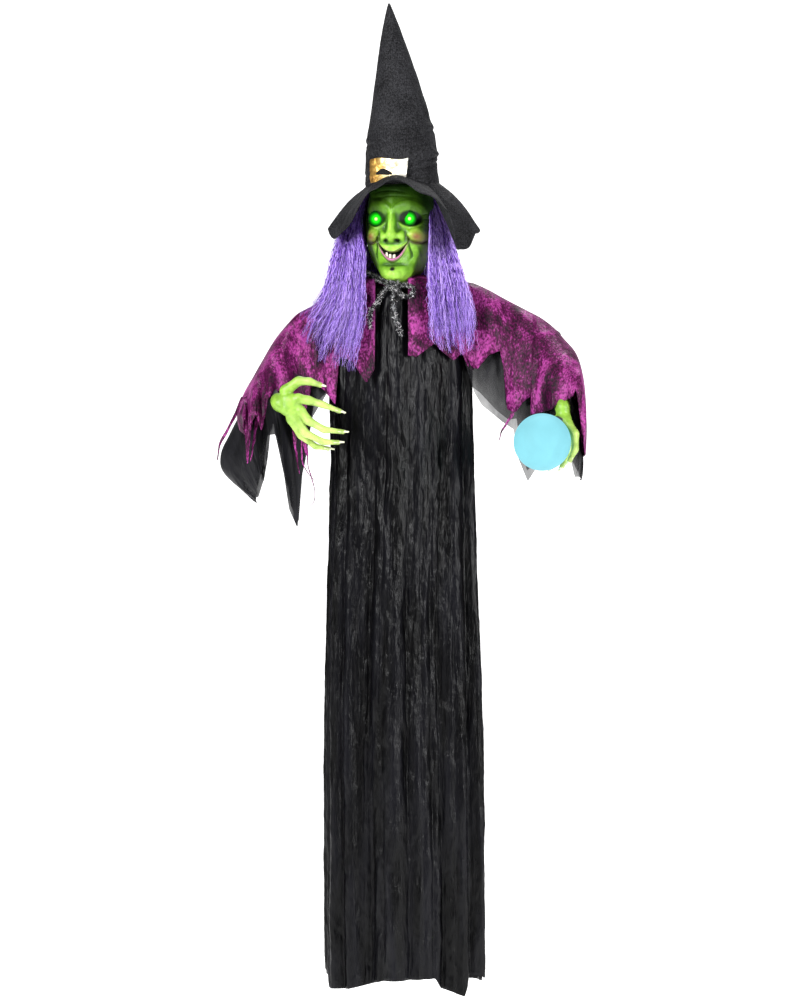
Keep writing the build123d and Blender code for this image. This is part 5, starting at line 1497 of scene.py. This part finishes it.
# ---------------------------------------------------------------- hat
@dataclass
class Hat:
    """The tall crown, its drooping brim and the gold patch."""

    axis: np.ndarray
    pivot: np.ndarray
    turn: float
    lean: float
    # the brim's edge, in world millimetres, from her left round the front
    rim: Points = (
        (152, -64, 113), (143, -92, 96), (131, -118, 79), (118, -138, 69), (106, -152, 67), (103, -166, 101),
        (95, -180, 132), (72, -194, 148), (41, -205, 172), (16, -207, 188), (-11, -205, 191),
        (-26, -200, 187), (-49, -184, 172), (-80, -158, 132), (-112, -122, 88), (-122, -96, 94),
        (-130, -62, 110), (-124, -20, 108), (-112, 12, 116), (-75, 60, 150), (-20, 82, 178), (40, 82, 178),
        (95, 54, 142), (128, 16, 112), (145, -24, 106),
    )

    # the crown's outline, height and radius in millimetres
    profile: Points = (
        (-16, 68), (0, 67), (50, 65), (75, 62), (125, 51.5), (180, 39.5), (230, 27.5), (280, 14.5),
        (310, 5.5),
        (322, 1.4), (324, 0.05),
    )

    def place(self, local: np.ndarray) -> np.ndarray:
        """Leans a shape that stands on the hat's own axis, and turns it with the head.

        Args:
            local: Places from the hat's own foot, in metres.

        Returns:
            Places in the frame.
        """
        c, s = math.cos(math.radians(self.lean)), math.sin(math.radians(self.lean))
        x, z = local[..., 0], local[..., 2]
        q = np.stack([x * c + z * s, local[..., 1], z * c - x * s], -1)
        return turned(q + self.axis, self.pivot, self.turn)

    def crown(self) -> None:
        """The crown: a profile turned about its axis, with slack folds low down and long creases across."""
        a, t = grid(220, 190)
        angle = a[:-1] * 2 * math.pi
        t = t[:-1]
        foot, tip = self.profile[0][0], self.profile[-1][0]
        h = foot + t * (tip - foot)
        radius = np.interp(h, *np.array(self.profile).T)
        slack = np.interp(h, (-16, 10, 60, 90, 140, 220, 324), (0.3, 1, 1, 0.7, 0.35, 0.2, 0.0))
        fold = ripple(angle / 6.28 * 3, h / 110 + 0.35 * np.sin(angle), 71, 7, 1, 3.2) * 7.5
        fine = ripple(angle / 6.28 * 6, h / 60, 72, 7, 1, 4) * 2.6
        crease = h - (70 + 10 * np.cos(angle - 0.4) + 5 * np.cos(2 * angle))
        radius = radius + (fold + fine) * slack - 2.0 * np.exp(-((crease / 3.5) ** 2))
        radius = radius + 1.6 * np.exp(-(((crease - 8) / 6) ** 2))
        for start, slope, deep in ((22, 16, 3.0), (44, -14, 2.4), (8, 22, 2.2)):
            line = h - (start + slope * np.sin(angle + 0.9))
            side = 0.35 + 0.65 * np.clip(np.cos(angle + 0.5), 0, 1)
            lip = 1.6 * np.exp(-(((line - 6) / 4) ** 2))
            radius = radius + side * (lip - deep * np.exp(-((line / 2.8) ** 2)))
        seam = np.abs((angle - 1.2 + math.pi) % (2 * math.pi) - math.pi)
        radius = radius + 0.6 * np.exp(-((seam / 0.03) ** 2)) * slack
        bend = 3.6 * np.sin((h + 16) / 340 * math.pi * 1.4)
        local = np.stack([radius * np.cos(angle) + bend, radius * np.sin(angle), h], -1) * MM
        piece = surface("hat_crown_cloth", self.place(local), closed_u=True)
        tailor(piece, Garment.HAT)
        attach(piece, "head")
        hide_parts("hat_crown", "hat_band")
        LOG.info("crown: %d points", len(piece.data.vertices))

    def brim(self) -> None:
        """The brim: ruled from the crown's foot out to a closed edge line, bowed a little and rippled."""
        a, t = grid(361, 52)
        a, t = a[:-1], t[:-1]
        angle = a * 2 * math.pi
        foot = self.place(np.stack([66.5 * np.cos(angle), 66.5 * np.sin(angle), -13 + 0 * angle], -1) * MM)
        rim = np.array(self.rim, float)
        around = np.unwrap(np.arctan2(rim[:, 1] + 60, rim[:, 0] - 8))
        around = np.r_[around - 2 * math.pi, around, around + 2 * math.pi]
        rows = np.tile(rim, (3, 1))
        order = np.argsort(around)
        edge = np.stack([np.interp(angle - math.pi, around[order], rows[order, k]) for k in range(3)], -1)
        foot = np.roll(foot, foot.shape[0] // 2, axis=0)
        for shift in (1, 2):
            edge = (edge + np.roll(edge, shift, 0) + np.roll(edge, -shift, 0)) / 3
        mixed = foot * (1 - t[..., None]) + edge * MM * t[..., None]
        bow = 0.010 * np.sin(t * math.pi) + 0.004 * ripple(a * 5, t * 1.2, 15, 8, 1, 5) * t
        wave = (0.0035 * np.sin(angle * 13 + 1) + 0.0025 * np.sin(angle * 7)) * t**3
        mixed[..., 2] += bow + wave
        piece = surface("hat_brim_cloth", mixed, closed_u=True)
        tailor(piece, Garment.HAT)
        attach(piece, "head")
        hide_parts("hat_brim")
        LOG.info("brim: %d points", len(piece.data.vertices))

    def buckle(self) -> None:
        """The gold patch: a sheet bent round the crown, waved at its edges."""
        u, v = grid(90, 60)
        angle = math.radians(-92 - 11) + (u - 0.5) * 1.02 + 0.09 * (v - 0.4) * u**3
        h = -8 + 39 * v + 4.0 * np.sin(u * 4.6 + 0.4) * (v - 0.2) + 6 * (u - 0.35) * (0.55 - v) + 4 * u**6 * v
        r = 73.5 - 0.06 * h + 2.4 * ripple(u, v, 33, 8, 1, 4) + 1.4 * np.exp(-(((v - 0.5) / 0.42) ** 8))
        local = np.stack([r * np.cos(angle), r * np.sin(angle), h], -1) * MM
        piece = surface("gold_patch", self.place(local))
        thicken(piece, 0.0012)
        dress(piece, GOLD)
        # the share across the patch carries the gold's painted highlight
        paint(piece, "across", u)
        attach(piece, "head")
        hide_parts("hat_buckle")
        slot_u, slot_v = grid(40, 10)
        angle = math.radians(-92 - 15) + (slot_u - 0.5) * 0.42
        h = 5 + 8 * (slot_v - 0.5) * (0.4 + np.cos((slot_u - 0.5) * math.pi)) + 3.0 * np.sin(slot_u * 4.0)
        local = np.stack([77 * np.cos(angle), 77 * np.sin(angle), h], -1) * MM
        strip = surface("patch_slot", self.place(local))
        thicken(strip, 0.0008)
        dress(strip, NODE_FINISHES["hat_satin"])
        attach(strip, "head")

    def build(self) -> None:
        """Makes every piece of the hat."""
        self.crown()
        self.brim()
        self.buckle()


# ---------------------------------------------------------------- tinsel tie
@dataclass
class Tie:
    """The tinsel scarf: a ring round the neck, a knot, one loop and tails, all of short bright filaments."""

    body_y: float
    front: float = -0.128
    filaments: int = 1000         # for each decimetre
    length: float = 0.0078

    def strand(self, name: str, points: Points, node: Optional[str], thick: float, seed: int) -> None:
        """A cord of tinsel along a line: filaments leave it in every direction, swept a little along it.

        Args:
            name: The piece's name.
            points: The line, in millimetres.
            node: The node that it stands in for, if any.
            thick: Factor on the filaments' length.
            seed: Start of the random draw.
        """
        rng = np.random.default_rng(seed)
        line = np.array(points, float) * MM
        whole = float(np.sum(np.linalg.norm(np.diff(line, axis=0), axis=1)))
        n = int(self.filaments * whole * 10) + 60
        t = np.sort(rng.random(n))
        root = through(points, t)
        way = rng.normal(0, 1, (n, 3))
        way /= np.linalg.norm(way, axis=1, keepdims=True)
        along = through(points, np.clip(t + 0.01, 0, 1)) - through(points, np.clip(t - 0.01, 0, 1))
        along /= np.linalg.norm(along, axis=1, keepdims=True) + 1e-9
        tip = root + way * self.length * thick * rng.uniform(0.6, 1.2, (n, 1))
        tip = tip + along * 0.003 * rng.normal(0, 1, (n, 1))
        s = np.linspace(0, 1, 4)[None, :, None]
        paths = root[:, None] * (1 - s) + tip[:, None] * s
        radius = np.tile(np.array([0.6, 0.7, 0.6, 0.25]) * MM * 0.85, (n, 1))
        piece = threads(name, paths, radius, sides=3, flat=0.3)
        middle = through(points, np.linspace(0, 1, 60))[None]
        core = threads(f"{name}_core", middle, np.full((1, 60), 0.0012 * thick), 8)
        dress(core, TINSEL)
        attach(core, "torso")
        dress(piece, TINSEL)
        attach(piece, "torso")
        if node:
            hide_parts(node)

    def build(self) -> None:
        """Makes the ring and every end."""
        f = self.front / MM
        angle = np.linspace(0, 2 * math.pi, 25)
        middle = self.body_y / MM
        ring = [(47 * math.sin(a), middle - 47 * math.cos(a), 22 - 5 * math.cos(a)) for a in angle]
        self.strand("tie_ring", ring, "tie_band", 0.9, 81)
        knot = ((-16, f + 6, 9), (-8, f, 6), (0, f + 3, 6), (-8, f - 5, 2), (-12, f + 4, 8))
        self.strand("tie_knot", knot, "tie_bow", 1.15, 82)
        start = ((-60, f + 40, 31), (-40, f + 22, 20), (-20, f + 6, 10), (-8, f, 6))
        self.strand("tie_start", start, None, 0.9, 86)
        loop = (
            (-6, f - 2, 4), (10, f - 3, 5), (27, f, 0), (27, f + 1, -10), (17, f, -17), (4, f, -10),
            (-6, f, 0),
        )
        self.strand("tie_loop", loop, None, 0.75, 83)
        left = ((-12, f, 3), (-24, f - 3, -4), (-38, f - 4, -26), (-49, f - 3, -42), (-52, f, -71))
        self.strand("tie_left_tail", left, None, 0.85, 84)
        centre = ((-8, f - 2, 0), (-8, f - 4, -20), (-7, f - 4, -48), (0, f - 2, -68), (6, f, -87))
        self.strand("tie_centre_tail", centre, None, 0.85, 85)


# ---------------------------------------------------------------- arms, hands and ball
def arm_places(side: str) -> tuple[tuple[float, ...], tuple[float, ...], tuple[float, ...]]:
    """(shoulder, elbow, wrist) of one arm in metres, read from the frame's joints."""
    at = {j["name"]: j.get("pos_m") for j in frame["joints"]}
    return tuple(tuple(at[f"{side}_{part}"]) for part in ("shoulder", "elbow", "wrist"))


@dataclass
class Hand:
    """One hand: fingers and palm grown together into one skin, with separate nails."""

    side: str
    fingers: dict[str, Points]
    palm: Points
    wrist: np.ndarray
    radii: dict[str, tuple[float, ...]]

    def lumps(self) -> tuple[np.ndarray, np.ndarray]:
        """All the centres and radii: along each finger and across the palm, closely spaced."""
        centres, radii = [], []
        for name, joints in self.fingers.items():
            p = np.array(joints, float)
            r = np.array(self.radii[name])
            s = np.linspace(0, len(p) - 1, 9 * (len(p) - 1) + 1)
            knuckle = 1 + 0.13 * np.exp(-(((s - np.round(s)) / 0.2) ** 2))
            centres.append(np.stack([np.interp(s, range(len(p)), p[:, k]) for k in range(3)], -1))
            radii.append(np.interp(s, range(len(p)), r) * knuckle * 0.94)
        for x, y, z, r in self.palm:
            centres.append(np.array([[x, y, z]], float))
            radii.append(np.array([r], float))
        return np.concatenate(centres) * MM + self.wrist, np.concatenate(radii) * MM

    def build(self) -> None:
        """Grows the hand and paints it.

        Each lump pulls a skin round itself, and near lumps' skins flow into one. The paint is by distance:
        green at the wrist, pale over the palm and fingers, a little darker at the tips, with uneven streaks.
        """
        centres, radii = self.lumps()
        lumps = bpy.data.metaballs.new(f"{self.side}_hand_grown")
        lumps.resolution = 0.0016 * GROWN
        lumps.render_resolution = 0.0016 * GROWN
        lumps.threshold = 0.35
        grown = bpy.data.objects.new(lumps.name, lumps)
        bpy.context.scene.collection.objects.link(grown)
        for at, radius in zip(centres, radii):
            ball = lumps.elements.new()
            ball.co = (at - self.wrist) * GROWN
            ball.radius = radius * 1.55 * GROWN
            ball.stiffness = 3.0
        bpy.context.view_layer.update()
        mesh = bpy.data.meshes.new_from_object(grown.evaluated_get(bpy.context.evaluated_depsgraph_get()))
        bpy.data.objects.remove(grown)
        piece = bpy.data.objects.new(f"{self.side}_hand_skin", mesh)
        bpy.context.scene.collection.objects.link(piece)
        n = len(mesh.vertices)
        co = np.zeros(n * 3, np.float32)
        mesh.vertices.foreach_get("co", co)
        co = co.reshape(-1, 3) / GROWN + self.wrist
        mesh.vertices.foreach_set("co", co.astype(np.float32).ravel())
        mesh.polygons.foreach_set("use_smooth", np.ones(len(mesh.polygons), bool))
        far = np.linalg.norm(co - self.wrist, axis=1)
        tips = [np.array(joints[-1]) * MM + self.wrist for joints in self.fingers.values()]
        near_tip = np.min([np.linalg.norm(co - tip, axis=1) for tip in tips], axis=0)
        pale, green = np.array((0.46, 0.62, 0.16)), np.array((0.25, 0.46, 0.05))
        deep = np.array((0.09, 0.2, 0.015))
        streak = ripple(co[:, 0] * 40, co[:, 2] * 40, 6, 8, 1, 4)[:, None]
        share = step(far, 0.035, 0.10)[:, None]
        tone = green * (1 - share) + pale * share
        tone = tone * (1 - 0.5 * np.clip(-streak, 0, 0.6)) + deep * 0.6 * np.clip(-streak, 0, 0.6)
        tone = tone * (1 - 0.25 * step(-near_tip, -0.016, -0.004)[:, None])
        paint(piece, "paint", tone)
        dress(piece, SKIN)
        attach(piece, f"{self.side}_hand")
        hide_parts(f"{self.side}_hand")
        self.nails()
        LOG.info("%s hand: %d points", self.side, n)

    def nails(self) -> None:
        """Long nails: each a curved plate from the last joint past the fingertip, narrowing to a point."""
        for name, joints in self.fingers.items():
            end, before = (np.array(joints[k], float) * MM + self.wrist for k in (-1, -2))
            along = (end - before) / np.linalg.norm(end - before)
            up = np.array((0.0, -0.55, 0.83))
            up = up - along * float(up @ along)
            up /= np.linalg.norm(up)
            side = np.cross(along, up)
            u, v = grid(16, 13)
            width = 0.0042 * (1 - 0.75 * u**2.2)
            across = (v - 0.5) * 2
            lift = self.radii[name][-1] * MM * 0.95
            p = (
                end + along * (u[..., None] * 0.019 - 0.008) + side * (across * width)[..., None]
                + up * (lift * (1 - 0.55 * across**2) - 0.0012 * u)[..., None]
            )
            piece = surface(f"{self.side}_{name}_nail", p)
            thicken(piece, 0.0009)
            dress(piece, Moulded("nail_horn", (0.72, 0.74, 0.52), 0.3, 300.0))
            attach(piece, f"{self.side}_hand")


@dataclass
class Ball:
    """The lit globe: two moulded halves with a fine seam, on one closed surface."""

    centre: np.ndarray
    radius: float
    seam: float = 0.0003

    def build(self) -> None:
        """A globe by latitude and longitude, drawn in at its seam: r - seam * exp(-(z/0.6 mm)^2)."""
        a, t = grid(129, 96)
        round_, polar = a[:-1] * 2 * math.pi, t[:-1] * math.pi
        z = np.cos(polar)
        r = self.radius - self.seam * np.exp(-((z * self.radius / 0.0006) ** 2))
        ways = np.stack([np.sin(polar) * np.cos(round_), np.sin(polar) * np.sin(round_), z], -1)
        local = ways * r[..., None]
        piece = surface("glow_ball", local + self.centre, closed_u=True, flip=True)
        dress(piece, NODE_FINISHES["ball_cyan"])
        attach(piece, "left_hand")
        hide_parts("crystal_ball")


# ---------------------------------------------------------------- the studio
@dataclass
class Studio:
    """The floor, the lights and the camera."""

    floor_z: float
    middle: tuple[float, float] = (0.0045, -0.389)
    distance: float = 7.0
    body_y: float = -0.048
    span: float = 1.852        # what fills the sensor's longer side at the body
    front_y: float = -1.6      # where the floor starts
    depth: float = 17.0        # how far back it runs
    sweep_y: float = 13.0      # where it starts to rise
    room_light: float = 0.12

    def build(self) -> None:
        """Sets a pale floor with a swept-up back, three soft lights and the camera."""
        u, v = grid(60, 90)
        y = self.front_y + self.depth * v
        rise = np.clip(y - self.sweep_y, 0, 9)
        local = np.stack([(u - 0.5) * 12, y, self.floor_z + rise**2 * 1.5], -1)
        floor = surface("floor", local)
        s = Shader("pale_floor")
        s.colour(s.ramp(s.noise(3, 3), [(0.3, (0.86, 0.86, 0.86)), (0.7, (0.9, 0.9, 0.9))]))
        s.set(Roughness=0.9, Specular_IOR_Level=0.1, Emission_Color=(1, 1, 1, 1), Emission_Strength=1.0)
        floor.data.materials.append(s.material)
        world = bpy.data.worlds.new("soft_room")
        world.use_nodes = True
        room = world.node_tree.nodes["Background"]
        room.inputs["Color"].default_value = (1, 1, 1, 1)
        room.inputs["Strength"].default_value = self.room_light
        bpy.context.scene.world = world
        boxes = (
            ((-2.5, -3.1, 1.1), 0.9, 2.6, 260), ((2.9, -2.6, 0.4), 0.7, 2.6, 165),
            ((0.4, 1.6, 2.4), 1.2, 1.2, 70),
        )
        for place, wide, tall, power in boxes:
            lamp = bpy.data.lights.new("soft_box", "AREA")
            lamp.shape = "RECTANGLE"
            lamp.size, lamp.size_y, lamp.energy = wide, tall, power
            item = bpy.data.objects.new("soft_box", lamp)
            item.location = place
            way = np.array((0.0, -0.05, -0.3)) - np.array(place)
            tilt = math.atan2(math.hypot(way[0], way[1]), -way[2])
            item.rotation_euler = (tilt, 0, math.atan2(way[0], -way[1]) + math.pi)
            bpy.context.scene.collection.objects.link(item)
        lens = bpy.data.cameras.new("view")
        lens.sensor_width = 36
        lens.lens = lens.sensor_width * self.distance / self.span
        camera = bpy.data.objects.new("view", lens)
        camera.location = (self.middle[0], self.body_y - self.distance, self.middle[1])
        camera.rotation_euler = (math.pi / 2, 0, 0)
        bpy.context.scene.collection.objects.link(camera)
        bpy.context.scene.camera = camera
        bpy.context.scene.view_settings.view_transform = "Standard"


RIGHT_FINGERS: dict[str, Points] = {
    "thumb": ((14, -24, 16), (38, -30, 34), (58, -36, 33), (78, -42, 26)),
    "index": ((36, -32, 2), (56, -36, -1), (82, -42, -9), (113, -46, -21)),
    "middle": ((40, -30, -18), (56, -34, -38), (84, -42, -54), (118, -46, -58)),
    "ring": ((34, -27, -30), (50, -29, -60), (82, -35, -76), (110, -38, -77)),
    "little": ((24, -24, -34), (42, -18, -64), (68, -20, -84), (92, -22, -88)),
}
RADII: dict[str, tuple[float, ...]] = {
    "thumb": (9, 7, 5.8, 4), "index": (8, 6.6, 5.4, 3.6), "middle": (8, 6.6, 5.4, 3.6),
    "ring": (8, 6.2, 5.2, 3.4), "little": (7.5, 5.8, 4.6, 3.2),
}
RIGHT_PALM: Points = (
    (2, -8, -2, 12), (8, -16, -6, 14), (18, -24, 0, 14), (18, -24, -14, 14), (28, -28, -4, 12),
    (28, -27, -22, 12),
)
LEFT_PALM: Points = (
    (0, -8, -12, 9), (2, -12, -24, 11), (3, -16, -35, 13), (5, -12, -44, 11), (-4, -6, -40, 11),
)
LEFT_PALM_BASE = (1, -18, -35)
GRIP: dict[str, Points] = {
    "index": ((0.80, 0.35, 0.60), (0.97, 0.05, 0.25), (0.98, -0.12, -0.22), (0.82, -0.22, -0.58)),
    "middle": ((0.66, 0.62, 0.42), (0.82, 0.55, 0.05), (0.80, 0.45, -0.40), (0.60, 0.35, -0.74)),
    "ring": ((0.42, 0.80, 0.42), (0.50, 0.86, -0.02), (0.46, 0.76, -0.46), (0.30, 0.60, -0.76)),
    "little": ((0.18, 0.84, 0.50), (0.12, 0.98, 0.10), (0.08, 0.94, -0.32), (0.04, 0.80, -0.60)),
    "thumb": ((0.28, 0.75, 0.55), (0.0, 0.9, 0.42), (-0.25, 0.92, 0.3), (-0.45, 0.86, 0.2)),
}


def left_fingers(centre: np.ndarray, wrist: np.ndarray, reach: float) -> dict[str, Points]:
    """The left fingers' joints from the wrist, on a sphere just outside the ball.

    Each joint is the ball's centre plus its direction, made of length 1, times the reach.

    Args:
        centre: The ball's centre.
        wrist: The wrist.
        reach: From the centre to a finger's middle, in metres.

    Returns:
        Each finger's joints, in millimetres from the wrist.
    """
    out = {}
    for name, ways in GRIP.items():
        w = np.array(ways)
        w = w / np.linalg.norm(w, axis=1, keepdims=True)
        out[name] = [tuple(p) for p in (centre + w * reach - wrist) / MM]
    return out


def build_hands() -> None:
    """Both hands and the ball, placed from the frame."""
    low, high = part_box("crystal_ball")
    centre = np.array((low + high) / 2)
    radius = float((high - low)[0]) / 2
    for side in ("right", "left"):
        _, elbow, wrist = (np.array(p) for p in arm_places(side))
        fore = (wrist - elbow) / np.linalg.norm(wrist - elbow)
        if side == "right":
            fingers, palm = RIGHT_FINGERS, RIGHT_PALM
        else:
            fingers = left_fingers(centre, wrist, radius + 9 * MM)
            palm = list(LEFT_PALM)
            for joints in fingers.values():
                base, knuckle = np.array(LEFT_PALM_BASE), np.array(joints[0])
                palm += [(*(base + (knuckle - base) * s), 9.0) for s in (0.3, 0.55, 0.8)]
        palm = list(palm) + [(*(fore * k), 12.0) for k in (2, 8, 14, 20)]
        Hand(side, fingers, palm, wrist, RADII).build()
    Ball(centre, radius).build()


def finish_nodes() -> None:
    """Gives every CAD node that still shows its procedural material."""
    slots = {s["node"]: s["material_slot"] for s in frame["record"]["subparts"]}
    for node, item in frame["nodes"].items():
        item.data.materials.clear()
        item.data.materials.append(NODE_FINISHES[slots[node]].material())


def main() -> None:
    """Builds the witch piece by piece."""
    logging.basicConfig(level=logging.INFO, format="%(name)s %(message)s")
    joints = {j["name"]: j.get("pos_m") for j in frame["joints"]}
    spine = np.array(joints["head_turn"]) * (1, 1, 0)
    head_yaw = -8.0      # she looks a little to her right
    Studio(floor_z=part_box("robe")[0][2] - 0.012).build()
    finish_nodes()
    Gown(spine[1]).build()
    Sleeves(spine[1]).build()
    Cape(spine[1]).build()
    build_tatters()
    Face(np.array((0.0, spine[1] - 0.010, 0.0)), head_yaw, spine).build()
    Hat(np.array((0.008, spine[1] - 0.012, 0.206)), spine, head_yaw, -3.5).build()
    Tie(spine[1]).build()
    build_hair()
    build_hands()


if __name__ == "__main__":
    main()
